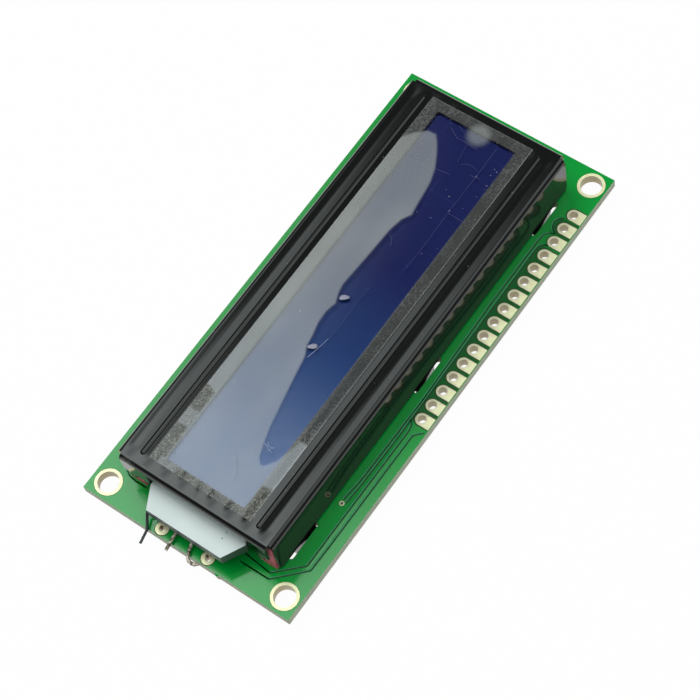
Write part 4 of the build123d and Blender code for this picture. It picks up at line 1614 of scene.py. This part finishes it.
    def scratches(self) -> None:
        """Score the thin scratches of the film, and lay its hair and its parting edge."""
        marks = [
            [(-31.4, -4.1), (-30.4, -2.4), (-30.4, -1.1), (-30.2, 1.3)],
            [(-32.1, -4.6), (-31.8, -4.4)],
            [(-32.3, -3.2), (-31.6, -2.1)],
            [(-26.2, 2.8), (-26.4, 4.4)],
            [(-24.6, -1.8), (-24.8, 0.3)],
            [(-19.5, 3.6), (-19.4, 6.6)],
            [(-12.3, -1.4), (-11.9, -0.7), (-10.9, -0.2)],
        ]
        bright = [
            [(23.0, 2.8), (23.35, 3.7), (23.7, 4.6)],
            [(23.7, 3.9), (22.8, 4.4)],
            [(22.7, 3.2), (23.1, 3.6), (23.0, 4.2)],
            [(9.45, 0.1), (7.7, 0.55), (5.6, 0.9)],
        ]
        hairs = [[(26.65, 0.7), (27.3, 1.35), (27.9, 1.8), (28.9, 2.45), (29.75, 2.5)]]
        faint = [
            [(-31.8, 3.6), (-26.5, 3.65), (-19.9, 3.6), (-15.5, 3.75), (-9.0, 3.7)],
            [(-27.0, 0.7), (-27.5, 1.3), (-27.6, 2.3), (-27.4, 3.3)],
            [(-30.2, -0.5), (-27.1, 0.0)],
            [(5.6, 0.9), (2.9, 1.1), (-1.7, 0.95), (-4.1, 1.15)],
        ]
        far, near = self.parting_along
        low, high = self.parting_across
        shown = [(x, y) for x, y in self.outline if far < x < near and low < y < high]
        parting = [(x, y + self.parting_shift) for x, y in shown]
        lift, height = self.score
        top = self.high[2] + lift
        for runs, width, name, finish in (
            (bright, 0.06, "film_scratches", SCORED),
            (marks, 0.05, "film_grazes", GRAZED),
            (faint, 0.035, "film_faint_grazes", GRAZED),
            (hairs, 0.06, "film_hairs", HAIR),
            ([parting], 0.09, "film_parting_edge", PARTING),
        ):
            raised = [[(x, y, top) for x, y in run] for run in runs]
            mesh = ribbons(name, raised, (width, height), self.score_corner, finish)
            show(mesh, name, finish)

    def domes(self) -> None:
        """Raise the two small domes where the film has lifted off the glass."""
        places = ((-0.8, -1.0), (7.7, -0.25))
        top = self.high[2]
        # The domes' pale colour is a painted highlight
        spots = [Spot((x, y, top), half=(0.8, 0.42), turn=-54.0, height=0.05) for x, y in places]
        dot(spots, "film_domes", DOME_HIGHLIGHT)

    def specks(self) -> None:
        """Drop the specks of lint on the film."""
        places = [(-22.5, 1.25), (-17.4, -0.2), (-26.0, 5.8), (-23.8, 5.6), (-28.8, 5.25), (-28.6, 5.75)]
        places += [(-21.2, 5.05), (-17.6, 2.0), (-19.9, 3.6), (-33.3, 5.95), (-20.7, 7.6), (-27.2, -4.8)]
        places += [(-25.3, 5.85), (-27.7, 5.3), (-26.5, 3.65), (-14.0, 5.6), (-12.2, 4.2)]
        sizes = (0.08, 0.12, 0.16)
        slimness = 0.6
        spots: list[Spot] = []
        for i, (x, y) in enumerate(places):
            size = sizes[i % len(sizes)]
            half = (size, slimness * size)
            spots.append(Spot((x, y, self.high[2]), half, turn=40.0 * i, height=0.04))
        dot(spots, "film_lint", LINT)


@dataclass
class LampLeads:
    """The three stiff lead stubs of the backlight. All sizes are in millimetres.

    Attributes:
        radius: Radius of a lead.
        side_radius: Radius of the sleeved side lead.
        wander: How far a lead's crusted skin wanders.
        side_wander: The same of the side lead.
        crust: Size of the crust's lumps.
        crust_seed: Seed of the crust, which keeps it the same in each run.
        root: Where a lead starts along the module.
        starts: Where the straight, the side and the hooked lead start across the module.
        root_height: Height at which it leaves the tongue.
        turn_height: Height at which it turns outwards.
        lie_height: Height at which it lies on the board.
        flat_from: Where the side lead's flattened tip starts.
        flat_over: Length over which it flattens.
        flat_loss: Share of its height that it loses.
        tongue_top: Height of the tongue's upper face.
    """

    radius: float = 0.25
    # side_radius: Radius of the side lead.
    side_radius: float = 0.2
    wander: float = 0.1
    side_wander: float = 0.04
    crust: float = 0.3
    crust_seed: int = 7
    root: float = 34.96
    starts: Place = (-2.6, -5.5, -0.3)
    root_height: float = 2.3
    turn_height: float = 1.39
    lie_height: float = 0.48
    flat_from: float = 41.3
    flat_over: float = 0.5
    flat_loss: float = 0.5
    tongue_top: float = 4.3

    def route(self, y: float, run: list[Place]) -> list[Place]:
        """Give a lead's points.

        Args:
            y: Where the lead starts across the module.
            run: How far each further point lies out, across and up.

        Returns:
            The points from the root to the tip.
        """
        points = [(self.root, y, self.root_height), (self.root, y, self.turn_height)]
        return points + [(self.root + out, y + across, self.lie_height + up) for out, across, up in run]

    def tube(self, name: str, points: list[Place], radius: float, wander: float, finish: Finish) -> Mesh:
        """Draw a lead as a smooth tube.

        Args:
            name: The mesh's name.
            points: Its control points.
            radius: Its radius.
            wander: How far its skin wanders.
            finish: Its finish.

        Returns:
            The lead's mesh.
        """
        curve = bpy.data.curves.new(name, "CURVE")
        curve.dimensions = "3D"
        spline = curve.splines.new("NURBS")
        spline.points.add(len(points) - 1)
        for target, (x, y, z) in zip(spline.points, points):
            target.co = (x * MM, y * MM, z * MM, 1.0)
        spline.order_u = 3
        spline.use_endpoint_u = True
        spline.resolution_u = 14
        curve.bevel_depth = radius * MM
        curve.bevel_resolution = 3
        curve.use_fill_caps = True
        mesh = settle(put(name, curve))
        for vertex in mesh.vertices:
            spot = vertex.co / (self.crust * MM)
            vertex.co += Vector(noise.noise_vector(spot)) * wander * MM
        mesh.materials.clear()
        mesh.materials.append(finish.material())
        return mesh

    def flatten(self, mesh: Mesh) -> None:
        """Flatten the side lead's tip, as a crimped end is.

        Args:
            mesh: The side lead's mesh.
        """
        for vertex in mesh.vertices:
            share = smoothstep(self.flat_from, self.flat_from + self.flat_over, vertex.co.x / MM)
            above = vertex.co.z / MM - self.lie_height
            vertex.co.z = (self.lie_height + above * (1.0 - self.flat_loss * share)) * MM

    def build(self) -> None:
        """Make the three leads, and the soot on the tongue."""
        noise.seed_set(self.crust_seed)
        straight_y, side_y, hook_y = self.starts
        straight_route = self.route(straight_y, [(4.6, 0.2, 0.0), (6.24, 0.45, 0.0)])
        straight = self.tube("straight_lead", straight_route, self.radius, self.wander, LEAD)
        side_run = [(3.2, -1.9, 1.1), (3.4, -1.95, 0.9), (5.1, -0.85, 0.05), (5.3, -0.7, 0.0)]
        side_run += [(7.4, -0.3, 0.0)]
        side_route = self.route(side_y, side_run)
        side = self.tube("side_lead", side_route, self.side_radius, self.side_wander, DARK_LEAD)
        self.flatten(side)
        hook_run = [(4.14, 0.7, 0.0), (5.79, 1.5, 0.0), (5.89, 3.0, 0.0), (5.24, 3.15, 0.0)]
        hook = self.tube("hook_lead", self.route(hook_y, hook_run), self.radius, self.wander, LEAD)
        for mesh, finish in ((straight, LEAD), (side, DARK_LEAD), (hook, LEAD)):
            piece = show(mesh, mesh.name, finish)
            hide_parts("backlight_leads")
        places = [(x, 4.9, self.tongue_top) for x in (35.4, 36.4)]
        specks = [Spot(place, half=(0.13, 0.09), turn=20.0, height=0.02) for place in places]
        dot(specks, "tongue_soot", SOOT_AND_HOLE_SHADE)


@dataclass(frozen=True)
class Panel:
    """A soft light panel far above, by its slopes from the upright.

    Attributes:
        along: Slopes along the module where it starts, is full, is still full, and ends.
        across: The same across the module.
        level: How bright it is.
    """

    along: Edges
    across: Edges
    level: float


@dataclass
class Studio:
    """The floor, the soft light and the camera.

    Attributes:
        camera_place: The camera's place, in metres.
        camera_back: The way from the object to the camera.
        camera_up: The camera's upward way.
        lens_mm: Its focal length.
        sensor_mm: Width of its sensor.
        nearest: Distance from which it sees, in metres.
        floor_height: Height of the floor, in metres.
        floor_half: Half the floor's width, in metres.
        floor_white: Share of the floor's picture that is plain white, without its shadow.
        paper: The floor's sRGB colour.
        tint: The sRGB colour of the room's light.
        dim: Light of the room away from the soft panels.
        horizon: Least upward slope at which the panels are worked out.
        panels: The soft panels overhead.
        fill_watts: Power of the side fill.
        fill_size: Its width, in metres.
        fill_place: Its place, in metres.
    """

    camera_place: Place = (0.095751, 0.114417, 0.277670)
    camera_back: Place = (0.29632, 0.36050, 0.88444)
    camera_up: Place = (-0.75790, -0.47476, 0.44744)
    lens_mm: float = 114.26
    sensor_mm: float = 36.0
    nearest: float = 0.01
    floor_height: float = -0.0031
    floor_half: float = 1.5
    floor_white: float = 0.97
    paper: str = "E8E8E8"
    tint: str = "F2FCFB"
    dim: float = 0.14
    horizon: float = 0.05
    panels: tuple[Panel, ...] = (
        Panel((-0.52, -0.36, 0.40, 0.70), (-1.20, -0.90, -0.50, -0.40), 2.2),
        Panel((-0.90, -0.70, 0.50, 0.80), (-0.22, -0.14, 0.60, 1.40), 1.6),
        Panel((-0.34, -0.22, 0.30, 0.50), (-0.75, -0.60, -0.36, -0.26), 3.8),
    )
    fill_watts: float = 1.3
    fill_size: float = 0.5
    fill_place: Place = (-0.12, -0.28, 0.6)

    def camera(self) -> None:
        """Set the camera where the picture was taken from."""
        data = bpy.data.cameras.new("camera")
        data.lens = self.lens_mm
        data.sensor_width = self.sensor_mm
        data.clip_start = self.nearest
        made = put("camera", data)
        back = Vector(self.camera_back).normalized()
        right = Vector(self.camera_up).cross(back).normalized()
        turn = Matrix((right, back.cross(right), back)).transposed()
        made.matrix_world = Matrix.Translation(self.camera_place) @ turn.to_4x4()
        bpy.context.scene.camera = made

    def world(self) -> None:
        """Light the room from soft panels overhead, and show white beyond the floor."""
        world = bpy.data.worlds.new("studio")
        bpy.context.scene.world = world
        world.use_nodes = True
        tree = world.node_tree
        tree.nodes.clear()
        coords = tree.nodes.new("ShaderNodeTexCoord")
        way = add_node(tree, SPLIT, {0: coords.outputs["Generated"]}).node.outputs
        high = add_node(tree, MATH, {"operation": "MAXIMUM", 0: way["Z"], 1: self.horizon})
        along = add_node(tree, MATH, {"operation": "DIVIDE", 0: way["X"], 1: high})
        across = add_node(tree, MATH, {"operation": "DIVIDE", 0: way["Y"], 1: high})
        light: Socket | float = self.dim
        for panel in self.panels:
            share: Socket | float = 1.0
            for slope, edges in ((along, panel.along), (across, panel.across)):
                for none, full in (edges[:2], edges[:1:-1]):
                    span = {"interpolation_type": "SMOOTHSTEP", "From Min": none, "From Max": full}
                    side = add_node(tree, RANGE, {**span, "Value": slope})
                    share = add_node(tree, MATH, {"operation": "MULTIPLY", 0: share, 1: side})
            lit = add_node(tree, MATH, {"operation": "MULTIPLY", 0: share, 1: panel.level})
            light = add_node(tree, MATH, {"operation": "MAXIMUM", 0: light, 1: lit})
        room = add_node(tree, "ShaderNodeBackground", {"Color": linear(self.tint), "Strength": light})
        white = add_node(tree, "ShaderNodeBackground", {"Color": linear("FFFFFF"), "Strength": 1.0})
        seen = add_node(tree, "ShaderNodeLightPath", {}, "Is Camera Ray")
        mixed = add_node(tree, "ShaderNodeMixShader", {0: seen, 1: room, 2: white})
        add_node(tree, "ShaderNodeOutputWorld", {"Surface": mixed})

    def floor(self) -> None:
        """Lay the white floor, which keeps a soft shadow."""
        half = self.floor_half
        corners = [(-half, -half), (half, -half), (half, half), (-half, half)]
        mesh = bpy.data.meshes.new("floor")
        mesh.from_pydata([(x, y, self.floor_height) for x, y in corners], [], [(0, 1, 2, 3)])
        floor = put("floor", mesh)
        paper = bpy.data.materials.new("white_paper")
        paper.use_nodes = True
        tree = paper.node_tree
        tree.nodes.clear()
        matt = add_node(tree, "ShaderNodeBsdfDiffuse", {"Color": linear(self.paper)})
        glow = add_node(tree, "ShaderNodeEmission", {"Color": linear("FFFFFF"), "Strength": 1.0})
        rays = tree.nodes.new("ShaderNodeLightPath").outputs
        seen = rays["Is Camera Ray"]
        for label in ("Is Glossy Ray", "Is Transmission Ray"):
            seen = add_node(tree, MATH, {"operation": "MAXIMUM", 0: seen, 1: rays[label]})
        share = add_node(tree, MATH, {"operation": "MULTIPLY", 0: seen, 1: self.floor_white})
        mixed = add_node(tree, "ShaderNodeMixShader", {0: share, 1: matt, 2: glow})
        add_node(tree, "ShaderNodeOutputMaterial", {"Surface": mixed})
        mesh.materials.append(paper)

    def fill(self) -> None:
        """Add a large soft fill that leaves no mirror image of itself."""
        lamp = bpy.data.lights.new("fill", "AREA")
        lamp.shape = "DISK"
        lamp.size = self.fill_size
        lamp.energy = self.fill_watts
        made = put("fill", lamp)
        place = Vector(self.fill_place)
        made.location = place
        made.rotation_mode = "QUATERNION"
        made.rotation_quaternion = (-place).to_track_quat("-Z", "Y")
        made.visible_glossy = False

    def build(self) -> None:
        """Set up the whole studio."""
        self.camera()
        self.world()
        self.floor()
        self.fill()
        bpy.context.scene.view_settings.view_transform = "Standard"


def dress_nodes() -> None:
    """Give each solid that stays in view its finish."""
    for name, finish in NODE_FINISHES.items():
        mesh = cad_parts[name].data
        mesh.materials.clear()
        mesh.materials.append(finish.material())
        log.info("dressed %s with %s", name, finish.name)


def main() -> None:
    """Build the whole scene."""
    logging.basicConfig(level=logging.INFO, format="%(name)s: %(message)s")
    Studio().build()
    dress_nodes()
    Board().build()
    Film().build()
    LampLeads().build()


if __name__ == "__main__":
    main()
